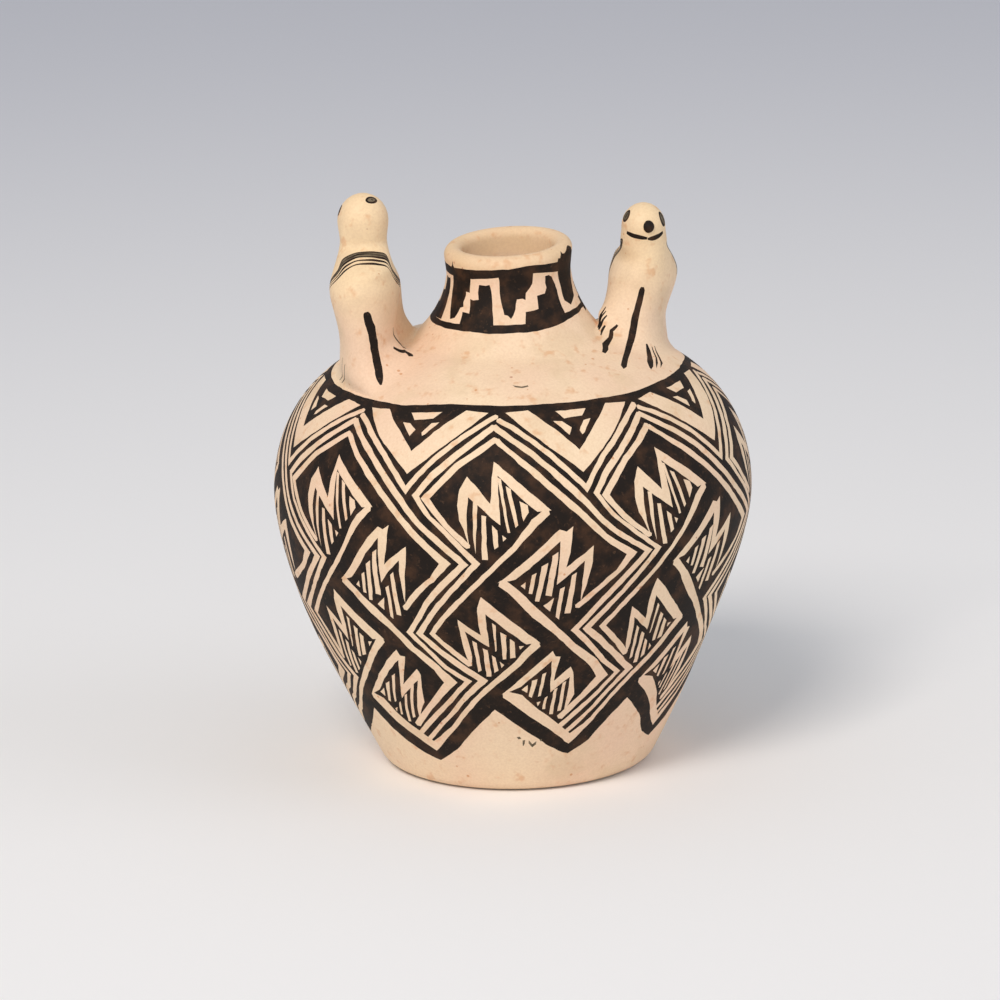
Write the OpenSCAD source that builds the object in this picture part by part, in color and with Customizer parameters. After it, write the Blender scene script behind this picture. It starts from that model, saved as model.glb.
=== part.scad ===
// Miniature painted clay jar with a closed-in shoulder, a short neck and two small animal
// figures that stand opposite each other on the shoulder. Fired clay, one piece. Millimetres, +Z up.
// The origin is the centre of the flat foot, on the surface that the jar stands on.

/* [Body] */
// Diameter above the worn edge of the flat foot
foot_d = 27.8; // [25:0.1:30]
// Radius of the worn edge around the foot
foot_edge = 2; // [1:0.1:2.6]
// Lean of the wall from the vertical as it leaves the foot, in degrees
foot_lean = 27; // [20:1:32]
// Greatest outer diameter of the body
belly_d = 47.7; // [45:0.1:52]
// Height of the greatest diameter
belly_z = 27.9; // [26:0.1:31]
// Outer diameter where the shoulder turns up into the neck
shoulder_d = 21.2; // [19:0.1:23]
// Height of that turn
shoulder_z = 43.1; // [42.5:0.1:45]
// Fall of the shoulder from the level at that turn, in degrees
shoulder_fall = 13.7; // [8:0.1:20]

/* [Neck] */
// Outer diameter at the narrowest part of the neck
neck_d = 12.3; // [11.5:0.1:14]
// Height of the narrowest part above that turn
neck_rise = 6.8; // [5.5:0.1:8]
// Outer diameter of the lip
lip_d = 12.7; // [12:0.1:15]
// Height of the top of the lip above the narrowest part
lip_rise = 2.7; // [2.2:0.1:4]
// Thickness of the rounded lip
lip_t = 1.8; // [1.2:0.1:2.2]

/* [Hollow] */
// Thickness of the body's wall
wall = 2.3; // [1.6:0.1:3]
// Thickness of the floor inside the foot
floor_t = 2.8; // [2:0.1:4]

/* [Figures] */
// Distance of the figures' middle line from the jar's axis
fig_r = 14.3; // [13.6:0.1:15]
// Distance by which the pair is set off the axis towards -X, as placed by hand
fig_shift = 0.4; // [0:0.1:0.8]
// Height of the shorter figure above the shoulder, and the one that the heights below are for
fig_h = 14.4; // [13.6:0.1:16]
// Height of the taller figure, as a share of the shorter one
fig_taller = 1.16; // [1:0.01:1.25]
// Distance by which the shorter figure's legs stand nearer the neck than its flanks
legs_in = 0.6; // [0:0.1:1]
// The same distance on the taller figure
tall_legs_in = 0.2; // [0:0.1:1]
// Width of the legs where they meet the shoulder
feet_w = 6.2; // [5.4:0.1:7]
// Width of the legs at their thinnest
waist_w = 5.7; // [5:0.1:6.4]
// Height of that waist above the shoulder
waist_h = 2.8; // [2.2:0.1:3.4]
// Width across the flanks
flank_w = 7.1; // [6.4:0.1:7.8]
// Height of the widest part of the flanks
flank_h = 6.8; // [6.2:0.1:7.4]
// Length of the body from chest to rump
body_l = 10; // [9:0.1:11]
// Reach of the hind feet behind the rump
hind_out = 0.4; // [0:0.1:0.8]
// Depth of the waist below the rump
waist_in = 0.2; // [0:0.1:0.6]
// Distance by which the rump has turned in where it starts to turn to the back
rump_in = 0.4; // [0:0.1:0.8]
// Reach of the forefeet in front of the chest
fore_out = 1; // [0.4:0.1:1.4]
// Depth of the throat below the face
throat_in = 0.3; // [0:0.1:0.8]
// Height at which the rump starts to turn in to the level of the back
back_h = 8.4; // [8:0.1:9]
// Width of the throat below the head
throat_w = 4.7; // [4:0.1:5]
// Height of the throat, where the back ends
throat_h = 10.4; // [10:0.1:11]
// Width of the shorter figure's head. The taller one's head is wider by the same share as it is taller
head_w = 4.4; // [4:0.1:4.8]
// Length of the head from face to nape
head_l = 5.0; // [4.6:0.1:5.6]
// Height at which the head starts to close in a dome
head_h = 12.1; // [11.8:0.1:12.6]
// Reach of the face and chest in front of the middle line
face_y = 4.4; // [4:0.1:4.8]
// Diameter of the nose pellet
nose_d = 1.1; // [0.8:0.1:1.4]
// Height of the nose above the shoulder
nose_h = 12.4; // [12:0.1:12.8]
// Turn of the body, chest towards the neck, in degrees
body_turn = 14; // [0:1:20]
// Turn of the head from straight ahead towards the neck, in degrees
head_turn = 4; // [0:1:20]

/* [Smoothed joins of the figures] */
// Reach of the foreleg's web towards the neck
fore_web = 3.1; // [2:0.1:4]
// Height to which that web climbs on the shorter figure
fore_web_h = 8.5; // [6:0.1:10]
// Reach of the hind leg's web towards the neck
hind_web = 1.8; // [1:0.1:2.6]
// Height to which that web climbs on the shorter figure
hind_web_h = 2.5; // [1.6:0.1:4]
// Radius of the smoothed clay along both sides
join_side = 1; // [0.6:0.1:1.6]
// Radius of the smoothed clay at the front and back feet
join_feet = 2.6; // [1.4:0.1:3]
// Depth by which a figure bites into the shoulder
bite = 0.2; // [0.1:0.05:0.4]
// Depth of its root below that, inside the wall
root = 0.6; // [0.4:0.1:1]

/* [Hidden] */
clay = "#e2c9ac";

// Facets of a turned surface, and points around and along a figure
$fn = 96;
nose_facets = 24;
edge_steps = 6;
lip_step = 15;
wall_steps = [12, 14, 8];
shoulder_steps = [24, 12];
bowl_steps = 6;
sides = 32;
join_rings = 5;
body_rings = 16;
dome_rings = 6;

neck_z = shoulder_z + neck_rise;
lip_z = neck_z + lip_rise;
belly_r = belly_d / 2;
neck_r = neck_d / 2;
lip_r = lip_d / 2;

// Reach of the curves' handles, as shares of the heights and widths that they span
foot_start = [foot_d / 2, foot_edge * (1 - sin(foot_lean))];
wall_rise = belly_z - foot_start[1];
wall_reach = [0.22, 0.27];
crown_rise = 0.23;
crown_reach = 0.955;
throat_reach = [0.47, 0.355];

// Point of a cubic curve with ends a and d and handles b and c
function curve(a, b, c, d, t) =
    pow(1 - t, 3) * a + 3 * t * pow(1 - t, 2) * b + 3 * t * t * (1 - t) * c + pow(t, 3) * d;
function curve_points(q, n, first = 0) = [for (i = [first : n]) curve(q[0], q[1], q[2], q[3], i / n)];

// The outer wall as three curves: foot to belly, belly to shoulder, shoulder to the top of the neck
belly = [belly_r, belly_z];
turn = [shoulder_d / 2, shoulder_z];
throat = [neck_r, neck_z];
fall = [cos(shoulder_fall), -sin(shoulder_fall)];
low_wall = [
    foot_start,
    foot_start + wall_reach[0] * wall_rise * [sin(foot_lean), cos(foot_lean)],
    belly - [0, wall_reach[1] * wall_rise],
    belly];
crown = [
    belly,
    belly + [0, crown_rise * (shoulder_z - belly_z)],
    turn + crown_reach * (belly_r - shoulder_d / 2) * fall,
    turn];
collar = [
    turn,
    turn - throat_reach[0] * (shoulder_d / 2 - neck_r) * fall,
    throat - [0, throat_reach[1] * (neck_z - shoulder_z)],
    throat];

// The foot's worn edge, and the rounded lip, which is a half circle in section
foot_arc = [for (i = [0 : edge_steps - 1]) let (a = i / edge_steps * (90 - foot_lean))
    [foot_d / 2 - foot_edge * (cos(foot_lean) - sin(a)), foot_edge * (1 - cos(a))]];
lip_mid = [lip_r - lip_t / 2, lip_z - lip_t / 2];
lip_arc = [for (a = [0 : lip_step : 180]) lip_mid + lip_t / 2 * [cos(a), sin(a)]];

outer = concat(
    curve_points(low_wall, wall_steps[0]),
    curve_points(crown, wall_steps[1], 1),
    curve_points(collar, wall_steps[2], 1));

// The inner wall lies one wall thickness inside the outer one and thins towards the lip. Below it
// the floor turns up in a bowl, level over the middle share of its width.
function inward(p, i, t) =
    let (a = p[max(i - 1, 0)], b = p[min(i + 1, len(p) - 1)], d = (b - a) / norm(b - a))
    p[i] + t * [-d[1], d[0]];
function wall_at(z) =
    let (share = max(0, min(1, (z - shoulder_z) / neck_rise))) wall + (lip_t - wall) * share;
bowl_level = 0.6;
bowl_z = floor_t + wall;
hollow_wall = [for (i = [0 : len(outer) - 1])
    let (p = inward(outer, i, wall_at(outer[i][1]))) if (p[1] > bowl_z) p];
bowl_edge = hollow_wall[0];
bowl_side = (hollow_wall[1] - bowl_edge) / norm(hollow_wall[1] - bowl_edge);
bowl = [
    [0, floor_t],
    [bowl_level * bowl_edge[0], floor_t],
    bowl_edge - (bowl_z - floor_t) / 2 * bowl_side,
    bowl_edge];
hollow = concat(curve_points(bowl, bowl_steps), [for (i = [1 : len(hollow_wall) - 1]) hollow_wall[i]]);

// Height of the shoulder at a distance r from the axis, with the distances in rising order
crown_points = concat(
    curve_points(crown, shoulder_steps[0]), curve_points(collar, shoulder_steps[1], 1));
shoulder_line = [for (i = [len(crown_points) - 1 : -1 : 0]) crown_points[i]];
function shoulder_at(r) = lookup(r, shoulder_line);

// A size that eases from a to b as h goes from h0 to h1, level at both ends
function ease(h, h0, h1, a, b) =
    let (t = max(0, min(1, (h - h0) / (h1 - h0)))) a + (b - a) * t * t * (3 - 2 * t);
function steps(h, s, i = 0) =
    i == len(s) - 2 || h < s[i + 1][0]
        ? ease(h, s[i][0], s[i + 1][0], s[i][1], s[i + 1][1])
        : steps(h, s, i + 1);

// The smoothed clay at a foot is a quarter circle of radius r that runs out on the shoulder. On the
// side of the neck each leg has a web as well, which climbs higher than it is wide and leaves a
// valley between fore and hind leg.
function join_at(h, r) = h >= r ? 0 : r - sqrt(r * r - pow(r - max(h, 0), 2));
web_power = 1.25;
function climb(h, up) = pow(1 - max(0, min(1, h / up)), web_power);
function web_at(h, a) =
    let (lobe = cos(a) < 0 ? sin(2 * a) : 0)
    lobe > 0 ? lobe * fore_web * climb(h, fore_web_h) : -lobe * hind_web * climb(h, hind_web_h);

// Half width, rump and chest of a figure at the height h above the shoulder, where h is the height
// on the shorter figure and k says how many times as tall this one is
rump_y = body_l - face_y;
nape_y = head_l - face_y;
function half_w(h, k) = steps(h, [
    [0, feet_w], [waist_h, waist_w], [flank_h, flank_w], [throat_h, throat_w], [head_h, k * head_w]]) / 2;
function rump(h) = steps(h, [
    [0, rump_y + hind_out], [waist_h, rump_y - waist_in], [flank_h, rump_y], [back_h, rump_y - rump_in],
    [throat_h, nape_y], [head_h, nape_y]]);
function chest(h) = steps(h, [
    [0, face_y + fore_out], [flank_h, face_y], [throat_h, face_y - throat_in], [head_h, face_y]]);

// A ring of a figure that is k times as tall as the shorter one. Near the shoulder its points
// follow the shoulder's fall and bite into it. In the dome the ring shrinks to a share of itself
// and lifts.
head_mid = (nape_y - face_y) / 2 * [tan(body_turn), 1];
function draped(x, y, h) =
    let (far = shoulder_at(norm([fig_r + x, y])), level = shoulder_at(fig_r))
    ease(h, 0, flank_h, far, level) + h - bite;
function ring(h, k, legs, share = 1, lift = 0) = [for (i = [0 : sides - 1])
    let (
        a = 360 * i / sides,
        g = h / k,
        w = half_w(g, k) + join_at(h, join_side) + web_at(g, a),
        mid = (rump(g) - chest(g)) / 2,
        far = (rump(g) + chest(g)) / 2 + join_at(h, join_feet),
        turn = ease(g, flank_h, throat_h, body_turn, head_turn),
        y = share * far * sin(a),
        x = share * w * cos(a) + tan(turn) * y + tan(body_turn) * mid - ease(g, waist_h, flank_h, legs, 0))
    [x, mid + y, draped(x, mid + y, h) + lift]];

// The lowest ring is level and lies inside the wall, and what would reach into the hollow is cut
// away with it. Above it the rings lie close together in the join, then even in the body and even
// by angle in the dome.
join_h = max(join_side, join_feet);
function rings(k, legs) =
    let (
        edge = ring(0, k, legs),
        low = min([for (p = edge) p[2]]) - root,
        top = k * head_h,
        dome_h = k * (fig_h - head_h))
    concat(
        [[for (p = edge) [p[0], p[1], low]]],
        [for (i = [0 : join_rings - 1]) ring(join_h * pow(i / join_rings, 2), k, legs)],
        [for (i = [0 : body_rings]) ring(join_h + (top - join_h) * i / body_rings, k, legs)],
        [for (i = [1 : dome_rings - 1])
            let (a = 90 * i / dome_rings) ring(top, k, legs, cos(a), dome_h * sin(a))]);
function crest(k) = [head_mid[0], head_mid[1], shoulder_at(fig_r) + k * fig_h - bite];

// A skin over the rings, closed by a flat base below and a crest point above
module lofted(rings, crest) {
    n = len(rings);
    m = len(rings[0]);
    points = concat([for (r = rings) each r], [crest]);
    base = [[for (i = [0 : m - 1]) i]];
    skin = [for (j = [0 : n - 2], i = [0 : m - 1])
        let (a = j * m + i, b = j * m + (i + 1) % m) each [[a, a + m, b + m], [a, b + m, b]]];
    cap = [for (i = [0 : m - 1]) [(n - 1) * m + i, n * m, (n - 1) * m + (i + 1) % m]];
    polyhedron(points = points, faces = concat(base, skin, cap), convexity = 4);
}

// A figure k times as tall as the shorter one, which stands at +X and faces -Y
module figure(k, legs) {
    nose = head_mid - head_l / 2 * [tan(head_turn), 1];
    lofted(rings(k, legs), crest(k));
    translate([nose[0], nose[1], shoulder_at(fig_r) + k * nose_h - bite])
        sphere(d = nose_d, $fn = nose_facets);
}

// The pair stands as half a turn apart, the taller one at -X
module figures() {
    translate([-fig_shift, 0, 0]) {
        translate([fig_r, 0, 0]) figure(1, legs_in);
        rotate([0, 0, 180]) translate([fig_r, 0, 0]) figure(fig_taller, tall_legs_in);
    }
}

module wall_solid() {
    rotate_extrude() polygon(concat([[0, 0]], foot_arc, outer, lip_arc, [[0, lip_mid[1]]]));
}

// The hollow runs out through the neck, past the top of the lip
module hollow_solid() {
    mouth_r = lip_r - lip_t;
    above = lip_z + lip_t;
    rotate_extrude() polygon(concat(hollow, [[mouth_r, lip_mid[1]], [mouth_r, above], [0, above]]));
}

module jar() {
    color(clay) difference() {
        union() {
            wall_solid();
            figures();
        }
        hollow_solid();
    }
}

jar();
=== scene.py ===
# %% [markdown]
# A miniature jar of fired clay, made by hand, coated with cream slip and painted with a fine brush.
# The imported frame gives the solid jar. This lesson dresses it: the same turned wall and the same two
# animal figures, with the painted pattern cut into the mesh as real faces, so that every line keeps
# a crisp edge however near the camera comes.

# %% The frame
import math
import random

import bpy
import numpy as np
from mathutils import Matrix, Vector, noise
from mathutils.geometry import delaunay_2d_cdt


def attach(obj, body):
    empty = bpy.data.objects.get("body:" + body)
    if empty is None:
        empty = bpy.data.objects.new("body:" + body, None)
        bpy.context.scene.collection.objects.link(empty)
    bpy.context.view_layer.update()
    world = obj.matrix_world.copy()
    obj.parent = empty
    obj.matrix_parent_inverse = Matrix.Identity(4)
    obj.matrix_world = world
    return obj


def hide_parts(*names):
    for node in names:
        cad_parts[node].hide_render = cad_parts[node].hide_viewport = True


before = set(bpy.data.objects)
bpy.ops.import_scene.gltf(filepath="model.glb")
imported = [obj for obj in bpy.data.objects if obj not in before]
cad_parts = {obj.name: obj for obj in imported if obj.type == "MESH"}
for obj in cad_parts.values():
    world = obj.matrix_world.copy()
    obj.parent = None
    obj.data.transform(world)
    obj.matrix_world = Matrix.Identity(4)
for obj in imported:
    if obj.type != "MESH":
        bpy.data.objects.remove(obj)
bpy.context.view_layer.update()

MM = 0.001

# %% [markdown]
# The camera stands well back with a long lens, as for a product shot of a small thing, and looks
# down by 15 degrees. It is set first, because the painted pattern is laid out from the side that
# faces it. A roll of about a degree and a small shift put the jar where the photograph has it.

# %% Camera
CAMERA_TURN = -15.0      # degrees round from straight ahead (-Y), towards -X
CAMERA_RISE = 15.0
CAMERA_DISTANCE = 627.0  # mm from the point it looks at
LOOKS_AT = (0.0, 0.0, 26.3)
CAMERA_ROLL = -1.2
SENSOR, LENS = 36.0, 225.72

turn, rise = math.radians(CAMERA_TURN), math.radians(CAMERA_RISE)
backward = Vector((math.sin(turn) * math.cos(rise), -math.cos(turn) * math.cos(rise), math.sin(rise)))
sideways = Vector((math.cos(turn), math.sin(turn), 0))
upward = backward.cross(sideways)
roll = Matrix.Rotation(math.radians(CAMERA_ROLL), 3, backward)
camera = bpy.data.objects.new("camera", bpy.data.cameras.new("camera"))
camera.data.lens, camera.data.sensor_width = LENS, SENSOR
camera.data.shift_x, camera.data.shift_y = -0.0133, 0.0005
camera.data.clip_start, camera.data.clip_end = 0.01, 20
axes = Matrix((roll @ sideways, roll @ upward, roll @ backward)).transposed().to_4x4()
place = (Vector(LOOKS_AT) + CAMERA_DISTANCE * backward) * MM
camera.matrix_world = Matrix.Translation(place) @ axes
bpy.context.scene.collection.objects.link(camera)
bpy.context.scene.camera = camera
print("camera at", [round(c / MM, 1) for c in place], "mm")

# %% [markdown]
# The wall was built up by hand and scraped round, so one profile turned about the axis describes it:
# a worn edge at the foot, a cubic curve up to the belly, one over the shoulder, one up the neck, and
# a half round lip. The profile is kept as a fine line of points with the length run along it, because
# a painter works along the surface: every painted point is given by an angle and that length.

# %% Profile of the outer wall
FOOT_D, FOOT_EDGE, FOOT_LEAN = 27.8, 2.0, math.radians(27)
BELLY_R, BELLY_Z = 47.7 / 2, 27.9
TURN_R, TURN_Z, SHOULDER_FALL = 21.2 / 2, 43.1, math.radians(13.7)
NECK_R, NECK_Z = 12.3 / 2, 43.1 + 6.8
LIP_R, LIP_T, LIP_Z = 12.7 / 2, 1.8, 43.1 + 6.8 + 2.7
FOOT_POINTS, WALL_POINTS, NECK_POINTS, LIP_POINTS = 40, 300, 200, 30


def curve(a, b, c, d, count):
    """Points of a cubic curve with ends a and d and handles b and c."""
    t = np.linspace(0, 1, count)[:, None]
    a, b, c, d = (np.array(p, float) for p in (a, b, c, d))
    return (1 - t) ** 3 * a + 3 * t * (1 - t) ** 2 * b + 3 * t * t * (1 - t) * c + t ** 3 * d


def arc(mid, radius, first, last, count):
    """Points of an arc about mid, between two angles in degrees."""
    t = np.radians(np.linspace(first, last, count))
    return np.array(mid) + radius * np.stack([np.cos(t), np.sin(t)], 1)


lean = np.array([math.sin(FOOT_LEAN), math.cos(FOOT_LEAN)])
fall = np.array([math.cos(SHOULDER_FALL), -math.sin(SHOULDER_FALL)])
foot_top = np.array([FOOT_D / 2, FOOT_EDGE * (1 - math.sin(FOOT_LEAN))])
belly, corner, throat = np.array([BELLY_R, BELLY_Z]), np.array([TURN_R, TURN_Z]), np.array([NECK_R, NECK_Z])
wall_rise = BELLY_Z - foot_top[1]
lip_mid = np.array([LIP_R - LIP_T / 2, LIP_Z - LIP_T / 2])
foot_mid = (FOOT_D / 2 - FOOT_EDGE * math.cos(FOOT_LEAN), FOOT_EDGE)
low_wall = curve(foot_top, foot_top + 0.22 * wall_rise * lean, belly - (0, 0.27 * wall_rise), belly,
                 WALL_POINTS)
crown = curve(belly, belly + (0, 0.23 * (TURN_Z - BELLY_Z)),
              corner + 0.955 * (BELLY_R - TURN_R) * fall, corner, WALL_POINTS)
collar = curve(corner, corner - 0.47 * (TURN_R - NECK_R) * fall,
               throat - (0, 0.355 * (NECK_Z - TURN_Z)), throat, NECK_POINTS)
profile = np.concatenate([
    arc(foot_mid, FOOT_EDGE, -90, -math.degrees(FOOT_LEAN), FOOT_POINTS),
    low_wall[1:], crown[1:], collar[1:], arc(lip_mid, LIP_T / 2, 0, 90, LIP_POINTS)])
print("profile:", len(profile), "points")

# %% Looking up the profile
run = np.concatenate([[0], np.cumsum(np.hypot(*np.diff(profile, axis=0).T))])
END = run[-1]
PAST_BELLY = FOOT_POINTS + WALL_POINTS - 1  # number of the first point above the belly


def r_at(s):
    """Radius at a length run along the profile, in mm. The height is z_at."""
    return np.interp(s, run, profile[:, 0])


def z_at(s):
    return np.interp(s, run, profile[:, 1])


def run_at_radius(r):
    """Length run up to a point of the shoulder at the distance r from the axis."""
    upper = run > run[PAST_BELLY]
    return np.interp(-np.asarray(r), -profile[upper, 0], run[upper])


print("run from the foot to the top of the lip:", round(END, 1), "mm")

# %% [markdown]
# Nothing made by hand is quite true. The lower wall swells a little on one side and is a little flat on
# the other, and the mouth was pinched so that it dips towards the front left. One function moves every
# point by some tenths of a millimetre, and both the outer wall and the hollow go through it, so that
# the clay keeps its thickness. A second one turns an angle and a length run into a point in space.

# %% Hand-made unevenness
FRONT = -90 + CAMERA_TURN  # polar angle of the side that faces the camera
SWELL, SWELL_Z, SWELL_REACH = 0.3, 15.0, 7.0
MOUTH_TILT = (0.25, 0.35, 0.25)        # mm up in all, and per lip radius along X and along Y
TILT_UP, TILT_OUT = (44, 52), (8, 10)  # mm of height and of radius over which the tilt sets in and ends


def ease(h, h0, h1, a, b):
    """A size that eases from a to b as h goes from h0 to h1."""
    t = np.clip((np.asarray(h, float) - h0) / (h1 - h0), 0, 1)
    return a + (b - a) * t * t * (3 - 2 * t)


def by_hand(p):
    """Points of the true turned form, in mm, moved as the maker's hands left them."""
    x, y, z = p.T
    r = np.hypot(x, y)
    angle = np.arctan2(y, x) - math.radians(FRONT)
    swell = -SWELL * np.sin(angle) * np.exp(-((z - SWELL_Z) / SWELL_REACH) ** 2)
    share = 1 + swell / np.maximum(r, 1) * ease(r, 0, 8, 0, 1)
    tilt = MOUTH_TILT[0] + (MOUTH_TILT[1] * x + MOUTH_TILT[2] * y) / LIP_R
    lift = ease(z, *TILT_UP, 0, 1) * ease(r, *TILT_OUT, 1, 0) * tilt
    return np.stack([x * share, y * share, z + lift], 1)


def on_wall(at):
    """Points in space, in mm, for rows of (angle from the front in degrees, length run in mm)."""
    at = np.asarray(at, float)
    angle, r = np.radians(at[:, 0] + FRONT), r_at(at[:, 1])
    return by_hand(np.stack([r * np.cos(angle), r * np.sin(angle), z_at(at[:, 1])], 1))


def normals_of(surface, at, steps):
    """Unit normals of a surface by small steps each way."""
    at = np.asarray(at, float)
    across, along = np.array([steps[0], 0]), np.array([0, steps[1]])
    n = np.cross(surface(at + across) - surface(at - across), surface(at + along) - surface(at - along))
    return n / np.maximum(np.linalg.norm(n, axis=1), 1e-12)[:, None]


wide = on_wall([(a, run[PAST_BELLY]) for a in range(0, 360, 5)])
print("belly across X and Y:", np.ptp(wide, axis=0)[:2].round(1), "mm")

# %% [markdown]
# To cut the paint into the wall, the wall is laid flat. A map that keeps angles is the right one, as
# small triangles then stay well shaped: the whole wall becomes a disc, with the foot as its rim and the
# mouth as a small hole in its middle, and no seam anywhere. On such a disc a constrained Delaunay
# triangulation cuts all outlines into one mesh at once. The outline painted last over a triangle's
# middle gives the triangle its colour.

# %% Flat map of the wall
SLIP, PAINT, BARE, WASH, HOLE = 0, 1, 2, 3, -1  # material slots, and a hole
SAME_POINT = 1e-5                               # points nearer than this on the flat map are one
turned = np.concatenate([[0], np.cumsum(np.diff(run) / ((profile[1:, 0] + profile[:-1, 0]) / 2))])
disc = BELLY_R * np.exp(np.interp(run[PAST_BELLY], run, turned) - turned)


def wall_to_disc(at):
    angle, rho = np.radians(at[:, 0]), np.interp(at[:, 1], run, disc)
    return np.stack([rho * np.cos(angle), rho * np.sin(angle)], 1)


def disc_to_wall(xy):
    rho = np.hypot(xy[:, 0], xy[:, 1])
    return np.stack([np.degrees(np.arctan2(xy[:, 1], xy[:, 0])), np.interp(-rho, -disc, run)], 1)


print("flat disc from radius", disc[-1].round(1), "to", disc[0].round(1), "mm")


# %% The cut
def inside(points, outline):
    """Which points lie inside a closed outline, by counting its sides to the right of each."""
    x, y = points.T
    within = np.zeros(len(points), bool)
    for (x0, y0), (x1, y1) in zip(outline, np.roll(outline, -1, axis=0)):
        if y0 != y1:
            within ^= ((y0 > y) != (y1 > y)) & (x < x0 + (y - y0) * (x1 - x0) / (y1 - y0))
    return within


def cut(spots, outlines, flat, back):
    """Cuts coloured outlines and loose spots into triangles. Returns the places of the points, the
    triangles, their colours, and the new number of each point that went in."""
    places = np.array(list(spots) + [p for outline, _ in outlines for p in outline], float)
    plane, first, rings = flat(places), len(spots), []
    for outline, _ in outlines:
        rings.append(np.arange(first, first + len(outline)))
        first += len(outline)
    sides = [(int(a), int(b)) for ring in rings for a, b in zip(ring, np.roll(ring, -1))]
    made = delaunay_2d_cdt([Vector(p) for p in plane], sides, [], 0, SAME_POINT, True)
    corners = np.array([tuple(v) for v in made[0]])
    at, number = back(corners), {}
    for i, origin in enumerate(made[3]):
        for o in origin:
            number[o] = i
        if origin:
            at[i] = places[origin[0]]
    at[:, 0] = (at[:, 0] + 180) % 360 - 180
    triangles = np.array(made[2])
    mids = corners[triangles].mean(1)
    colours = np.full(len(triangles), HOLE)
    for ring, (_, colour) in zip(rings, outlines):
        low, high = plane[ring].min(0), plane[ring].max(0)
        near = np.nonzero(((mids > low) & (mids < high)).all(1))[0]
        colours[near[inside(mids[near], plane[ring])]] = colour
    return at, triangles[colours != HOLE], colours[colours != HOLE], number


# %% [markdown]
# Each figure is a small four-legged animal that stands with its head up, pinched from clay and smoothed
# into the shoulder with a wet finger. It is described by rings, one above the other: a half width, a
# rump and a chest at each height, a quarter circle of smoothed clay at the feet, and webs between the
# legs and the neck. The pair is one shape, made twice and set half a turn apart, one of them taller.

# %% Sizes of a figure
FIG_R, FIG_SHIFT, FIG_H, FIG_TALLER = 14.3, 0.4, 14.4, 1.16
HEAD_L, HEAD_H, FACE_Y = 5.0, 12.1, 4.4
NOSE_AT, NOSE_REACH, NOSE_OUT = 10.0, 15.5, 0.5  # degrees up the dome, degrees round it, mm
BODY_TURN, HEAD_TURN = 14, 4
FORE_WEB, HIND_WEB, JOIN_SIDE, JOIN_FEET = (3.1, 8.5), (1.8, 2.5), 1.0, 2.6
BITE, BITE_OVER = 0.2, 1.5         # mm sunk into the shoulder, and the height over which that ends
DEGREE_MM = 0.04                   # mm down the head's side that count as a degree of its dome
JOIN_OUTER, JOIN_INNER = (16.9, 17.75), (10.2, 8.2)  # the smoothed clay stops between the painted bands
NAPE_Y = HEAD_L - FACE_Y
HALF_WIDTHS = [(0, 3.1), (2.8, 2.85), (6.8, 3.55), (10.4, 2.35)]
RUMP = [(0, 6.0), (2.8, 5.4), (6.8, 5.6), (8.4, 5.2), (10.4, NAPE_Y), (HEAD_H, NAPE_Y)]
CHEST = [(0, 5.4), (6.8, FACE_Y), (10.4, FACE_Y - 0.3), (HEAD_H, FACE_Y)]
FLANK_H, THROAT_H, WAIST_H = 6.8, 10.4, 2.8
print("heads at", round(FIG_H, 1), "and", round(FIG_TALLER * FIG_H, 1), "mm over the shoulder")


# %% Curves of a figure
def steps(h, table):
    """Eases from one listed size to the next as the height h passes them."""
    size = np.full(np.shape(h), float(table[0][1]))
    for (h0, a), (h1, b) in zip(table, table[1:]):
        size = np.where(h >= h0, ease(h, h0, h1, a, b), size)
    return size


def join(h, radius):
    """Reach of the smoothed clay at the height h: a quarter circle that runs out on the shoulder."""
    h = np.clip(h, 0, radius)
    return radius - np.sqrt(np.maximum(radius ** 2 - (radius - h) ** 2, 0))


def web(h, angle):
    """Reach of the webs between the legs and the neck."""
    lobe = np.where(np.cos(angle) < 0, np.sin(2 * angle), 0)
    reach = [w * (1 - np.clip(h / up, 0, 1)) ** 1.25 for w, up in (FORE_WEB, HIND_WEB)]
    return np.where(lobe > 0, lobe * reach[0], -lobe * reach[1])


print("smoothed clay at the foot reaches", join(0, JOIN_FEET).round(1), "mm, half way up",
      join(JOIN_FEET / 2, JOIN_FEET).round(1), "mm")


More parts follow.
